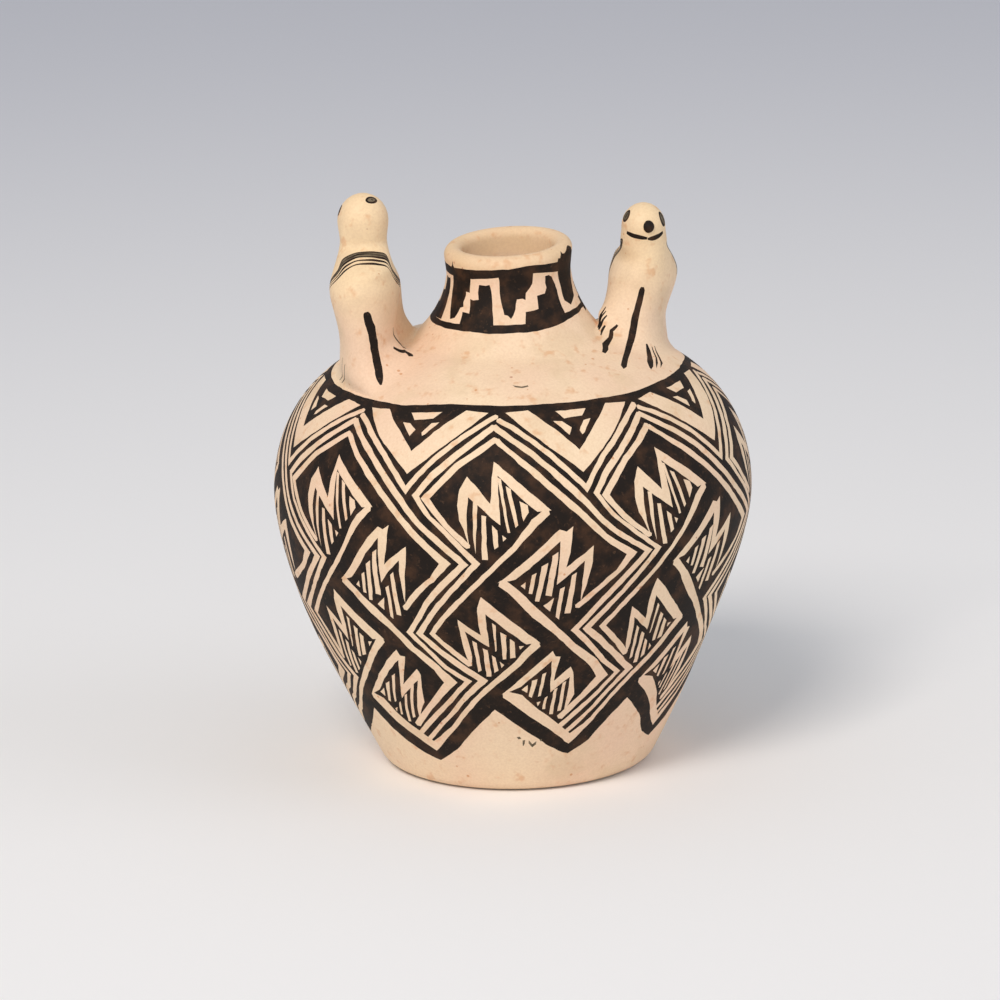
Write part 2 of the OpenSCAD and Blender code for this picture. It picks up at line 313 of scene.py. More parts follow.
# %% Surface of a figure
class Figure:
    """One animal: k is its height as a share of the shorter one, legs the reach of its legs inwards,
    and side is 1 at +X and -1 at -X, where it is turned round."""

    def __init__(self, k, legs, side):
        self.k, self.legs, self.side = k, legs, side
        self.top, self.dome = k * HEAD_H, k * (FIG_H - HEAD_H)

    def points(self, at):
        """Points for rows of (angle in degrees, height). Above the top of the head's straight part,
        the height counts degrees of the dome, so that its crest is at top + 90."""
        at = np.asarray(at, float)
        angle, h = np.radians(at[:, 0]), np.minimum(at[:, 1], self.top)
        dome = np.radians(np.clip(at[:, 1] - self.top, 0, 90))
        share, g = np.cos(dome), h / self.k
        half = steps(g, HALF_WIDTHS + [(HEAD_H, self.k * 2.2)]) + join(h, JOIN_SIDE) + web(g, angle)
        rump, chest = steps(g, RUMP), steps(g, CHEST)
        mid, far = (rump - chest) / 2, (rump + chest) / 2 + join(h, JOIN_FEET)
        turned = np.tan(np.radians(ease(g, FLANK_H, THROAT_H, BODY_TURN, HEAD_TURN)))
        y = share * far * np.sin(angle)
        x = (share * half * np.cos(angle) + turned * y + math.tan(math.radians(BODY_TURN)) * mid
             - ease(g, WAIST_H, FLANK_H, self.legs, 0))
        x, y = self.side * (FIG_R + x) - FIG_SHIFT, self.side * (mid + y)
        r = np.hypot(x, y)
        held = r
        for way, (free, limit) in ((1, JOIN_OUTER), (-1, JOIN_INNER)):
            past, room = np.maximum(way * (r - free), 0), abs(limit - free)
            held = held + way * (room * (1 - np.exp(-past / room)) - past)
        x, y = (c * (1 + (held / r - 1) * ease(h, 0, JOIN_FEET, 1, 0)) for c in (x, y))
        under = z_at(run_at_radius(np.hypot(x, y)))
        level = float(z_at(run_at_radius(FIG_R)))
        z = (ease(h, 0, FLANK_H, under, level) + h - ease(h, 0, BITE_OVER, 0, BITE)
             + self.dome * np.sin(dome))
        aside, up = (at[:, 0] + 270) % 360 - 180, at[:, 1] - self.top
        up = np.where(up < 0, up / DEGREE_MM, up)
        off = np.hypot(aside, up - NOSE_AT) / NOSE_REACH
        nose = NOSE_OUT * np.sqrt(np.maximum(1 - off ** 2, 0))
        return np.stack([x, y - self.side * nose, z + 0.2 * nose], 1)


figures = [Figure(1, 0.6, 1), Figure(FIG_TALLER, 0.2, -1)]
for f in figures:
    crest = f.points([(0, f.top + 90)])[0]
    print("figure on side", f.side, "has its crest at", crest.round(1))

# %% [markdown]
# The paint went on with a brush chewed from a yucca leaf, so a line is about half a millimetre wide,
# swells and thins a little, and wanders by a tenth. An outline is drawn by its corners, then its sides
# are broken into short pieces and each point is pushed by smooth noise: one broad wave that all strokes
# near a place share, so that neighbours stay parallel, and one fine wave of the stroke's own.

# %% The brush
BROAD, BROAD_REACH = 0.10, 6.0   # mm moved, and mm from wave to wave
FINE, FINE_REACH = 0.08, 0.9
OWN_WAVE = 7.3                   # how far apart the fine waves of two outlines are read
PIECE = 0.6                      # longest straight piece of an outline, mm
BRUSH_WIDTH, CAP, SHARPEST = 0.55, 0.3, 0.38  # mm, end cap as a share of it, sharpest mitre
CHANCE = 7                       # seed of all that is left to chance, so that each run gives the same jar
noise.seed_set(CHANCE)           # without one, noise_vector starts from the clock
outlines = []
print("a plain line is", BRUSH_WIDTH, "mm wide")

# %% Edge under the figures and drift of the repeats
EDGE = 45.75                     # run of the ring line's upper edge, before it is led round the feet
RING_EDGE = [(-180, 45.7), (-150, 45.7), (-130, 45.6), (-110, 45.4), (-98, 45.15), (-88, 45.0),
             (-75, 44.9), (-50, 44.95), (-44, 45.0), (-36, 45.05), (-30, 45.4), (-20, 45.85), (10, 45.8),
             (45, 45.7), (54, 45.95), (80, 46.0), (88, 45.85), (95, 45.5), (102, 45.2), (110, 45.0),
             (118, 44.95), (130, 44.95), (140, 45.2), (155, 45.6), (180, 45.7)]
# where the painter's repeats wandered off, as (angle, run) and how far, in degrees and mm; some held still
DRIFT = np.array([
    (-50, 43.9, 1, -1.0), (-56, 37.9, -.5, -1.7), (-49.5, 39.2, 1, -.7), (-36.5, 34.3, 1.5, -.8),
    (-53, 29.5, .5, -2.0), (-31.5, 32.8, 0, .3), (-49, 27.3, 2.5, -1.2), (-53, 25.9, 2.5, -1.3),
    (-59, 23.1, 3, -1.0), (-38.5, 20.2, 2, -.4), (-49, 14.3, -3, -2.4), (-50.5, 12.3, -4, -2.5),
    (-53, 16, -1.5, -2.1), (-40, 9.5, -4.5, -2.2), (-31, 6.5, -3, -1.6), (-76, 6.5, -2, -1.2),
    (34, 37.9, -2, -.5), (40.5, 39.5, -.8, .1), (58.5, 32.9, -.5, -.1), (30.5, 23, .3, .4),
    (50.5, 20.5, -1, .4), (37, 15.8, -1, .3), (40.5, 14.1, -1.6, 0), (38, 12.2, -1.5, -.4),
    (60.5, 6.5, -5, -.8), (14, 6.5, 1, -.4), (-27, 38, -.5, -.2), (0, 30, 0, 0), (0, 20, 0, 0),
    (10, 38, 0, 0), (0, 12, 0, 0), (20, 14, 0, 0)])
DRIFT_REACH, DRIFT_CALM = (10, 4.5), 0.12  # degrees and mm that a place is felt, and the pull to no drift
EDGE_FELT = (36, 45, 46, 50)               # run from which the edge pulls, holds, still holds, and is over


def led(a, s):
    """The painter led the band's upper edge round the feet of each figure, and let the repeats drift."""
    away = (a - DRIFT[:, 0] + 180) % 360 - 180
    weight = np.exp(-(away / DRIFT_REACH[0]) ** 2 - ((s - DRIFT[:, 1]) / DRIFT_REACH[1]) ** 2)
    turned, moved = (weight[:, None] * DRIFT[:, 2:]).sum(0) / (weight.sum() + DRIFT_CALM)
    near_edge = float(ease(s, *EDGE_FELT[:2], 0, 1) * ease(s, *EDGE_FELT[2:], 1, 0))
    edge = np.interp((a + 180) % 360 - 180, *np.array(RING_EDGE).T) - EDGE
    return a + turned * (1 - near_edge), s + moved * (1 - near_edge) + edge * near_edge


print("drift at the lower left:", [round(float(c), 1) for c in led(-40, 9.5)])


# %% Drawing on the wall
def per_degree(s):
    """Millimetres round the wall that a degree is worth at a length run."""
    return r_at(s) * math.pi / 180


def drawn(points):
    """A closed outline on the wall, broken into short pieces and pushed about as a hand does."""
    seed, out = len(outlines), []
    for (a0, s0), (a1, s1) in zip(points, points[1:] + points[:1]):
        a1 = a0 + (a1 - a0 + 180) % 360 - 180
        pieces = max(1, math.ceil(math.hypot((a1 - a0) * per_degree((s0 + s1) / 2), s1 - s0) / PIECE))
        out += [(a0 + (a1 - a0) * i / pieces, s0 + (s1 - s0) * i / pieces) for i in range(pieces)]
    pushed = []
    for a, s in out:
        a, s = led(a, s)
        r, t = float(r_at(s)), math.radians(a)
        p = Vector((r * math.cos(t), r * math.sin(t), s))
        push = (noise.noise_vector(p / BROAD_REACH) * BROAD
                + noise.noise_vector(p / FINE_REACH + Vector((OWN_WAVE * seed, 0, 0))) * FINE)
        pushed.append((a + push.x / per_degree(s), s + push.y))
    return pushed


print("a degree at the belly is worth", per_degree(run[PAST_BELLY]).round(2), "mm")


# %% Patches and strokes
def patch(points, colour):
    """Paints an area between (angle, run) corners."""
    outlines.append((drawn([tuple(p) for p in points]), colour))


def stroke(points, colour, width=BRUSH_WIDTH):
    """A brush line along (angle, run) or (angle, run, width) corners, mitred where it turns."""
    mids = [(p[0], p[1], p[2] if len(p) > 2 else width) for p in points]
    ways = []
    for (a0, s0, _), (a1, s1, _) in zip(mids, mids[1:]):
        way = Vector(((a1 - a0) * per_degree((s0 + s1) / 2), s1 - s0))
        ways.append(way.normalized())
    left, right = [], []
    for i, (a, s, w) in enumerate(mids):
        before, after = ways[max(i - 1, 0)], ways[min(i, len(ways) - 1)]
        n = Vector((-before.y - after.y, before.x + after.x))
        n = n.normalized() if n.length > 1e-6 else Vector((-after.y, after.x))
        n *= w / 2 / max(n.dot(Vector((-after.y, after.x))), SHARPEST)
        left.append((a + n.x / per_degree(s), s + n.y))
        right.append((a - n.x / per_degree(s), s - n.y))

    def cap(i, way):
        a, s, w = mids[i]
        return (a + way.x * w * CAP / per_degree(s), s + way.y * w * CAP)

    patch(left + [cap(-1, ways[-1])] + right[::-1] + [cap(0, -ways[0])], colour)


def around(points, repeats):
    """Corners of one repeat, carried all the way round."""
    step = 360 / repeats
    return [(a + step * k, s) for k in range(repeats) for a, s in points]


print("ready to draw on", round(END, 1), "mm of run, all round")

# %% [markdown]
# The body's band is a black ground with cream shapes kept free on it. It repeats eight times. Three
# nested lines run down from each peak under the ring line, turn at the sides, pass under one another
# and turn again: that is what gives the interlocked look. Between them stand toothed bands with hatched
# fields, one leaning left and one leaning right, in two rows. The corners below were laid out on the
# flat wall as (degrees from the front, mm run up from the foot), for the repeat that faces the camera.

# %% Ground of the body's band
REPEATS = 8
ROUND = 120   # points of a ring round the wall
BORDER = [(-27.8, 6.15), (-20, 7.6), (-10, 11.0), (-6.9, 12.15), (0, 9.95), (5, 8.55), (10, 7.3), (15, 6.4)]
outlines.append(([(360.0 / ROUND * i, 0.0) for i in range(ROUND)], SLIP))
patch(around(BORDER, REPEATS), PAINT)
patch(around([(5 * i, EDGE) for i in range(9)], REPEATS), SLIP)
print("ground:", len(outlines), "outlines")

# %% Cream lines
LINES = [
    # the line under the wide chevron
    [(-3.9, 43.9), (0, 43.05), (5, 41.58), (10, 39.86), (15, 37.8), (18.2, 36.45), (21, 37.95),
     (25, 39.68), (31.4, 41.9), (37, 43.5), (40.6, 44.35)],
    # the second line: peak, left corner, right corner, left corner, right corner, bottom
    [(-5, 43.15, .62), (-14, 40.25, .66), (-20, 38.03, .7), (-24, 35.95, .62), (-20, 33.9, .45),
     (-16, 32.4, .5), (-8.9, 29.35, .6), (-18, 25.1, .5), (-26.9, 21.45, .62), (-20, 19.0, .64),
     (-9.6, 15.75, .7), (-20, 11.9, .45), (-30, 8.9, .5)],
    [(-5, 43.15, .6), (0, 41.65, .58), (5, 40.13, .6), (10, 38.25, .62), (15, 36.23, .7),
     (22, 33.2, .62), (33.2, 29.25, .66), (25, 25.83, .62), (15.0, 21.5, .55), (25, 17.38, .5),
     (31.2, 15.65, .5), (25, 13.33, .5), (12.5, 9.7, .55)],
    # the third line, on both sides of the peak
    [(-4.4, 41.75, .6), (-14, 39.0, .62), (-21.3, 35.75, .7), (-16, 33.2, .55), (-10.7, 31.1, .6)],
    [(-4.1, 41.6, .55), (0, 40.1, .5), (5, 38.35, .66), (10, 36.48, .62), (15, 34.48, .7),
     (22, 31.58, .7), (28.6, 29.2, .85), (25, 27.4, .55), (15.3, 24.2, .6)],
    # lower edges of the toothed bands
    [(8.0, 34.45, .7), (5, 33.5, .8), (0, 31.1, .5), (-10, 26.75, .5), (-22.6, 21.45, .55),
     (-20, 20.4, .55), (-12.6, 17.75, .6)],
    [(-3.1, 27.35, .9), (0, 26.2, .85), (5, 23.85, 1.05), (10, 21.75, .75), (15, 19.6, .75),
     (22, 17.3, .85), (25.9, 15.5, 1.1), (20, 13.35, .65), (12.9, 10.95, .65)],
    [(5.4, 20.3, .9), (3, 19.3, .8), (0, 17.85, .7), (-10, 14.2, .55), (-20, 10.33, .5),
     (-28.1, 8.1, .95), (-40, 11.6, 1.2), (-45, 13.4, 1.45), (-48.5, 14.1, .9)],
]
print("lines in a repeat:", len(LINES))

# %% Chevrons and toothed bands
BANDS = [
    # wide chevron
    [(-1.9, 44.8), (4.9, 45.05), (12, 42.75), (18, 40.35), (24, 42.75), (30.9, 45.05), (37.9, 44.8),
     (27.2, 41.1), (18, 38.05), (8.8, 41.1)],
    # openings in the black triangle above it
    [(13.4, 44.75), (23.4, 44.75), (21.3, 43.95), (15.6, 43.85)],
    [(12.2, 43.6), (14.6, 43.5), (17.1, 42.7), (16.0, 42.0)],
    [(19.2, 42.35), (21.3, 43.4), (23.6, 43.5), (20.5, 42.15), (19.6, 41.95)],
    # upper left-leaning band
    [(8.9, 34.6), (2, 37.1), (-4.8, 39.45), (-5.4, 37.3), (-5.5, 35.4), (-11.2, 38.0), (-12.8, 36.7),
     (-13.2, 35.2), (-12.7, 33.7), (-11.6, 32.8), (-10.3, 30.9), (-10.9, 32.7), (-11.0, 34.3),
     (-10.7, 36.05), (-3.1, 33.35), (-3.9, 38.05), (5.6, 34.5)],
    # upper right-leaning band
    [(-4.0, 27.35), (10.7, 32.65), (12.3, 32.4), (13.9, 32.85), (13.0, 30.2), (12.1, 28.75),
     (18.8, 30.7), (18.5, 29.0), (17.3, 26.5), (16.0, 24.7), (16.2, 27.0), (16.6, 29.2),
     (10.0, 27.0), (10.8, 31.5), (0, 27.75)],
    # lower left-leaning band
    [(6.3, 20.35), (-1, 23.1), (-8.3, 25.85), (-9.3, 24.6), (-9.5, 23.2), (-9.0, 21.45), (-14.6, 23.15),
     (-14.4, 21.3), (-13.9, 19.6), (-13.4, 18.6), (-12.3, 17.7), (-12.0, 18.8), (-12.4, 20.4),
     (-13.1, 21.85), (-7.1, 20.0), (-7.4, 23.9), (2.6, 20.3)],
    # lower right-leaning band
    [(-4.45, 14.05), (9.6, 19.3), (10.6, 18.6), (12.0, 18.55), (11.0, 16.8), (10.6, 15.55),
     (15.2, 17.2), (16.2, 16.5), (16.6, 15.2), (17.2, 13.6), (14.4, 11.6), (14.9, 13.6),
     (15.3, 15.9), (9.5, 14.1), (9.65, 18.1), (0.8, 15.0)],
]
print("chevron, openings and bands in a repeat:", len(BANDS))

# %% Hatched fields between the teeth
HATCHES = [
    [(-9.6, 35.6), (-8.5, 35.4), (-8.7, 32.5), (-9.0, 30.4), (-9.5, 32.8)],
    [(-7.5, 34.3), (-6.5, 34.2), (-6.2, 29.8), (-7.5, 29.8)],
    [(-5.1, 33.3), (-3.8, 32.8), (-3.7, 31.2), (-4.7, 30.9)],
    [(-2.8, 32.35), (-1.8, 32.05), (-2.5, 31.7)],
    [(-3.9, 37.9), (-3.0, 37.7), (-0.8, 32.6), (-1.4, 32.6)],
    [(-1.8, 37.0), (-0.6, 36.7), (1.2, 33.3), (0.5, 33.1)],
    [(1.6, 35.6), (3.4, 35.2), (3.7, 34.5), (2.3, 33.7)],
    [(1.2, 27.05), (2.4, 27.5), (2.3, 26.7)],
    [(3.9, 28.2), (5.0, 28.4), (4.1, 26.1), (3.2, 26.2)],
    [(6.2, 29.1), (7.8, 29.4), (5.8, 25.2), (4.7, 25.3)],
    [(8.8, 30.1), (10.2, 30.4), (8.8, 25.7), (7.2, 25.9)],
    [(6.8, 24.7), (9.5, 25.5), (8.5, 24.0)],
    [(10.9, 26.5), (12.1, 26.7), (10.8, 23.0), (10.0, 23.3)],
    [(13.6, 27.8), (14.7, 28.1), (13.7, 23.5), (12.2, 23.6)],
    [(-5.9, 22.9), (-5.0, 22.6), (-5.2, 19.6), (-5.6, 19.5)],
    [(-3.9, 21.8), (-2.5, 21.4), (-2.8, 18.5), (-3.8, 18.5)],
    [(-1.6, 21.0), (-0.3, 20.6), (-0.4, 18.7), (-1.8, 18.6)],
    [(0.8, 20.1), (2.1, 20.1), (1.0, 19.65)],
    [(-11.5, 20.8), (-10.4, 20.5), (-9.7, 17.1), (-10.6, 16.9)],
    [(-8.8, 19.9), (-7.5, 19.6), (-7.2, 16.3), (-8.5, 16.3)],
    [(-6.6, 19.0), (-5.6, 18.7), (-5.2, 17.1), (-6.3, 16.8)],
    [(-4.6, 18.2), (-3.6, 17.8), (-4.3, 17.4)],
    [(1.0, 14.65), (3.0, 15.2), (2.8, 14.2)],
    [(4.1, 15.7), (5.7, 15.9), (4.3, 13.6), (3.4, 13.8)],
    [(7.0, 16.5), (8.1, 16.7), (6.9, 13.8), (6.1, 13.7)],
    [(5.6, 13.0), (6.8, 13.1), (6.0, 12.55)],
    [(8.1, 13.5), (8.9, 13.7), (8.3, 12.1), (7.4, 12.1)],
    [(10.7, 14.5), (11.6, 14.6), (10.7, 11.4), (9.6, 11.4)],
    [(13.2, 15.2), (14.2, 15.4), (13.3, 11.8), (12.2, 11.7)],
]
print("short strokes in a repeat:", len(HATCHES))

# %% The repeats
steady = random.Random(CHANCE)
HATCH_DRIFT = (0.25, 0.12)  # degrees and mm that a short stroke is off in the repeats
for k in range(REPEATS):
    around_by = 360 / REPEATS * k
    for line in LINES:
        stroke([(p[0] + around_by,) + tuple(p[1:]) for p in line], SLIP)
    for band in BANDS:
        patch([(a + around_by, s) for a, s in band], SLIP)
    for field in HATCHES:
        shift = [steady.uniform(-most, most) for most in HATCH_DRIFT] if k else (0, 0)
        patch([(a + around_by + shift[0], s + shift[1]) for a, s in field], SLIP)
print("with the body's band:", len(outlines), "outlines")

# %% [markdown]
# The neck has a black band between two lines, and a cream fret is kept free in it. What the brush
# painted are the black shapes: a stepped one stands on the lower line, the next hangs from the upper
# line with its steps the other way, and so on round. No two are quite alike, and the hand spaced them by
# eye, so the shapes are a few measured ones, set down in turn.

# %% Lines and shapes of the neck's band
NECK_LINES = [
    # lower line: its lower and its upper edge, then the upper line's two edges
    ([(-180, 56.8), (-64, 56.5), (-30, 56.65), (-12, 56.5), (24, 56.65), (49, 57.15), (75, 57.55),
      (110, 57.3), (150, 56.9)], PAINT),
    ([(-180, 57.4), (-60, 57.15), (-30, 57.35), (-12, 57.45), (12, 57.45), (50, 57.85), (80, 58.0),
      (110, 57.9), (150, 57.5)], SLIP),
    ([(-180, 62.0), (-72, 61.85), (-36, 62.0), (-9, 62.2), (22, 62.4), (36, 62.2), (51, 61.9), (90, 61.9),
      (130, 62.1)], PAINT),
    ([(-180, 62.9), (-64, 62.8), (-26, 63.0), (2.5, 63.1), (18, 63.3), (32, 63.15), (50, 62.95),
      (90, 63.0), (130, 62.9)], SLIP),
]
STANDING = [
    [(-28, 61.45), (-21, 61.4), (-17.5, 61.5), (-16.5, 61.25), (-15.5, 60.5), (-14.5, 59.5), (-13.5, 58.5),
     (-12, 57.2), (-40.5, 57.0), (-41, 57.8), (-41.5, 58.55), (-38.5, 58.55), (-34.5, 58.5),
     (-35.5, 59.2), (-36.5, 60), (-33.5, 59.85), (-28, 59.95), (-28.5, 60.65)],
    [(35.5, 61.9), (39.5, 61.9), (43.5, 61.6), (47, 60.8), (48.5, 60.2), (48.5, 59.2), (49, 58.45),
     (50, 57.6), (12.5, 57.2), (13, 58.05), (14, 58.65), (17.5, 58.7), (25, 58.8), (25.5, 59.55),
     (26, 60.05), (33.5, 60.15), (36.5, 60.7), (35.5, 61.2)],
]
HANGING = [
    [(-61.5, 62.2), (-62.5, 61.25), (-62, 60.35), (-60, 59.4), (-56.5, 58.4), (-53, 57.6), (-48, 57.8),
     (-46.5, 58.35), (-45.5, 58.95), (-42, 59.1), (-43.5, 59.55), (-42, 60.25), (-42.5, 60.6),
     (-38, 60.55), (-38, 61.05), (-36.5, 62.2)],
    [(-9, 62.4), (-8.5, 61.25), (-7.5, 60.25), (-6, 59.25), (-4.5, 58.5), (-1.5, 58.4), (1, 58.05),
     (3, 58.45), (5, 58.95), (6.5, 59.9), (12, 59.95), (14.5, 59.8), (15.5, 60.5), (19, 60.95),
     (22, 61.35), (22.5, 62.6)],
    [(51, 62.2), (53, 61.15), (54, 60.3), (54, 59.55), (54.5, 58.95), (58, 58.65), (61, 58.35),
     (66.5, 58.7), (73.5, 59), (76, 59.7), (81, 60.75), (85, 61.2), (86, 62.2)],
]
print("shapes for the neck:", len(STANDING), "standing,", len(HANGING), "hanging")

# %% The neck's band, set down
NECK_STEP = 5.0  # degrees from point to point of the neck's lines
PLACES = [(STANDING, 0, 0), (STANDING, 1, 0), (STANDING, 0, 124), (STANDING, 1, 120), (STANDING, 0, 244),
          (STANDING, 0, -52), (HANGING, 0, 0), (HANGING, 1, 0), (HANGING, 2, 0), (HANGING, 1, 120),
          (HANGING, 0, 237), (HANGING, 1, 240)]
for edge, colour in NECK_LINES:
    angles, heights = np.array(edge + [(180, edge[0][1])]).T
    places = [NECK_STEP * i - 180 for i in range(int(360 / NECK_STEP))]
    patch([(a, float(np.interp(a, angles, heights))) for a in places], colour)
for shapes, which, turned_on in PLACES:
    patch([(a + turned_on, s) for a, s in shapes[which]], PAINT)
# two places where the brush ran over the upper line
patch([(-64.5, 62.6), (-61.3, 63.0), (-60.5, 63.45), (-59.3, 63.0), (-57, 62.6)], PAINT)
patch([(50, 62.7), (51, 63.3), (54, 63.25), (56.5, 63.9), (58.5, 63.6), (62, 63.55), (66, 63.7),
       (70, 63.95), (74, 64.0), (80, 63.6), (86, 62.7)], PAINT)
print("with the neck's band:", len(outlines), "outlines")

# %% [markdown]
# A few small marks belong to this jar as much as its pattern: a dash of paint on the plain shoulder and
# a smudge under the band, where the brush or a finger touched it.

# %% Marks
for dab in ([(0.6, 48.85), (2.4, 48.7), (4.0, 48.55), (6.3, 48.7), (6.6, 48.5), (4.2, 48.3), (2.0, 48.45)],
            [(-0.7, 8.5), (0.4, 8.55), (0.6, 8.25), (-0.3, 8.2)],
            [(1.0, 8.1), (1.9, 8.15), (1.7, 7.6), (1.2, 7.3)],
            [(3.2, 8.1), (4.2, 7.6), (5.6, 8.0), (5.3, 7.6), (4.1, 7.2), (3.0, 7.7)],
            [(6.6, 8.2), (7.4, 8.3), (7.2, 7.9)]):
    patch(dab, WASH)
print("with the marks:", len(outlines), "outlines")

# %% [markdown]
# The figures carry a few quick strokes of the same brush: one down the chest and one down the rump, short
# ones for the toes, a strap of fine stripes on thinned paint over the back, and the face with its two
# eyes, a black nose and a mouth. A stroke is given by its middle line in (angle, height). The surface
# itself says how many millimetres a degree or a step up is worth there, so a width stays a width.

# %% A brush line on a figure
figure_paint = {1: [], -1: []}
TRACE = 0.35                # mm from point to point of a brush line on a figure
ROUGH, ROUGH_AT = 0.16, 1.7  # how much a brush line's edge wavers, and its waves per mm
FELT_STEP = 0.05            # half the step in height by which the surface is felt
LOWEST, FELT_LOWEST = 0.03, 0.06  # a line stays this far above the foot ring, and is felt no lower


def grain_of(figure, a, h):
    """The steps in space, in mm, of one degree and of one unit of height at a place on a figure."""
    h = max(h, FELT_LOWEST)
    spots = figure.points([(a + 0.5, h), (a - 0.5, h), (a, h + FELT_STEP), (a, h - FELT_STEP)])
    return np.stack([spots[0] - spots[1], (spots[2] - spots[3]) / (2 * FELT_STEP)], 1)


def line_on(figure, points, width):
    """Both edges of a brush line along (angle, height) or (angle, height, share of the width) corners."""
    points, fine = [(p[0], p[1], p[2] if len(p) > 2 else 1.0) for p in points], []
    for (a0, h0, w0), (a1, h1, w1) in zip(points, points[1:]):
        ends = figure.points([(a0, h0), (a1, h1)])
        pieces = max(1, math.ceil(np.linalg.norm(ends[1] - ends[0]) / TRACE))
        fine += [(a0 + (a1 - a0) * i / pieces, h0 + (h1 - h0) * i / pieces, w0 + (w1 - w0) * i / pieces)
                 for i in range(pieces)]
    fine.append(points[-1])
    left, right = [], []
    for i, (a, h, w) in enumerate(fine):
        before, after = fine[max(i - 1, 0)], fine[min(i + 1, len(fine) - 1)]
        grain = grain_of(figure, a, h)
        way = grain @ np.array([after[0] - before[0], after[1] - before[1]])
        out = np.cross(grain[:, 0], grain[:, 1])
        across = np.cross(out, way)
        across *= width * w / 2 / max(np.linalg.norm(across), 1e-9)
        step = np.linalg.lstsq(grain, across, rcond=None)[0]
        spot = Vector(figure.points([(a, h)])[0])
        rough = [1 + ROUGH * noise.noise(spot * ROUGH_AT + Vector((9.0 * k, width, 0))) for k in (1, 2)]
        left.append((a + step[0] * rough[0], max(h + step[1] * rough[0], LOWEST)))
        right.append((a - step[0] * rough[1], max(h - step[1] * rough[1], LOWEST)))
    return left, right


print("one degree on a flank is worth", np.linalg.norm(grain_of(figures[0], 0, 4.0)[:, 0]).round(2), "mm")


# %% Strokes and spots on a figure
def smoothed(points, pieces=5):
    """More points along a soft curve through the given ones."""
    p = np.array([points[0]] + list(points) + [points[-1]], float)
    out = []
    for a, b, c, d in zip(p, p[1:], p[2:], p[3:]):
        for t in np.arange(pieces) / pieces:
            bend = 2 * a - 5 * b + 4 * c - d + t * (3 * b - 3 * c + d - a)
            out.append(b + 0.5 * t * (c - a + t * bend))
    return [tuple(float(c) for c in q) for q in out] + [tuple(float(c) for c in p[-1])]


def brush_on(figure, points, width):
    """A painted stroke along (angle, height) or (angle, height, share of the width) corners."""
    corners = [(p[0], p[1], p[2] if len(p) > 2 else 1.0) for p in points]
    left, right = line_on(figure, smoothed(corners), width)
    figure_paint[figure.side].append((left + right[::-1], PAINT))


def spot_on(figure, angle, up, size, colour, count=20):
    """An oval, size in mm, at an angle and so many degrees up the dome of the head."""
    grain, outline = np.linalg.norm(grain_of(figure, angle, figure.top + up), axis=0), []
    for i in range(count):
        t = 2 * math.pi * i / count
        rise = up + size[1] / 2 * math.sin(t) / grain[1]
        outline.append((angle + size[0] / 2 * math.cos(t) / grain[0],
                        figure.top + (rise if rise > 0 else rise * grain[1])))
    figure_paint[figure.side].append((outline, colour))


def brush_over_foot(figure, points, width, ring, ends):
    """A brush line from a figure onto the shoulder. It crosses the foot ring between two of the ring's own
    points, so that figure and wall still share every point, and ends at places on the wall."""
    left, right = line_on(figure, points, width)
    crossing = [(360.0 * i / SIDES, 0.0) for i in ring]
    figure_paint[figure.side].append((left + crossing + right[::-1], PAINT))
    foot = foot_rings[figures.index(figure)]
    outlines.append(([tuple(foot[i]) for i in ring] + ends, PAINT))


# %% Places of the foot rings
SIDES = 144   # points of a ring round a figure


def foot_ring(figure):
    """Where a figure's lowest ring lies on the wall, as (angle, run)."""
    at = [(360.0 * i / SIDES, 0.0) for i in range(SIDES)]
    x, y, _ = figure.points(at).T
    angle = (np.degrees(np.arctan2(y, x)) - FRONT + 180) % 360 - 180
    return np.stack([angle, run_at_radius(np.hypot(x, y))], 1)


foot_rings = [foot_ring(f) for f in figures]
print("foot rings from run", min(r[:, 1].min() for r in foot_rings).round(1),
      "to", max(r[:, 1].max() for r in foot_rings).round(1))

# %% Straps over the backs
# both edges of a strap, from one flank over the back to the other, as (angle, height of the shorter one)
STRAPS = {1: [((-14, 6.6), (-4, 6.2)), ((-12, 7.3), (4, 6.9)), ((-12, 8.0), (12, 7.7)),
              ((-15, 9.1), (18, 8.4)), ((-22, 10.4), (28, 8.9)), ((20, 10.6), (48, 9.3)),
              ((90, 10.5), (90, 9.45)), ((150, 10.6), (138, 9.2)), ((192, 11.0), (156, 8.8)),
              ((186, 9.6), (164, 8.2)), ((183, 8.5), (170, 7.5)), ((187, 7.5), (178, 6.9)),
              ((192, 6.8), (184, 6.3))],
          -1: [((-14, 7.0), (-6, 6.4)), ((2, 7.7), (10, 7.1)), ((16.5, 8.6), (27, 7.9)),
               ((24, 9.35), (39, 8.7)), ((55.5, 9.85), (58.5, 9.15)), ((81, 9.95), (82.5, 9.25)),
               ((111, 9.85), (109.5, 9.15)), ((142.5, 9.5), (138, 8.75)), ((154.5, 8.5), (151.5, 7.7)),
               ((168, 7.7), (164, 7.05)), ((188, 7.0), (184, 6.4))]}
# stripes, as shares of the strap's width from its lower edge
STRIPES = [(0.0, 0.13, PAINT), (0.27, 0.4, PAINT), (0.52, 1.0, WASH), (0.52, 0.64, PAINT),
           (0.74, 0.82, PAINT), (0.92, 1.0, PAINT)]
STRIPE_WAVE = 0.02                # share of the width by which a stripe wanders
WAVE_STEP, WAVE_START = 0.25, 21  # radians from point to point, and from one edge of the strap to the other
for figure in figures:
    edges = [np.array(smoothed([row[i] for row in STRAPS[figure.side]], 8)) * (1, figure.k)
             for i in (0, 1)]
    for start, stop, colour in STRIPES:
        sides = []
        for share in (start, stop):
            wave = [share + STRIPE_WAVE * math.sin(WAVE_STEP * i + WAVE_START * share)
                    for i in range(len(edges[0]))]
            sides.append([tuple(low + (high - low) * w) for high, low, w in zip(*edges, wave)])
        figure_paint[figure.side].append((sides[0] + sides[1][::-1], colour))
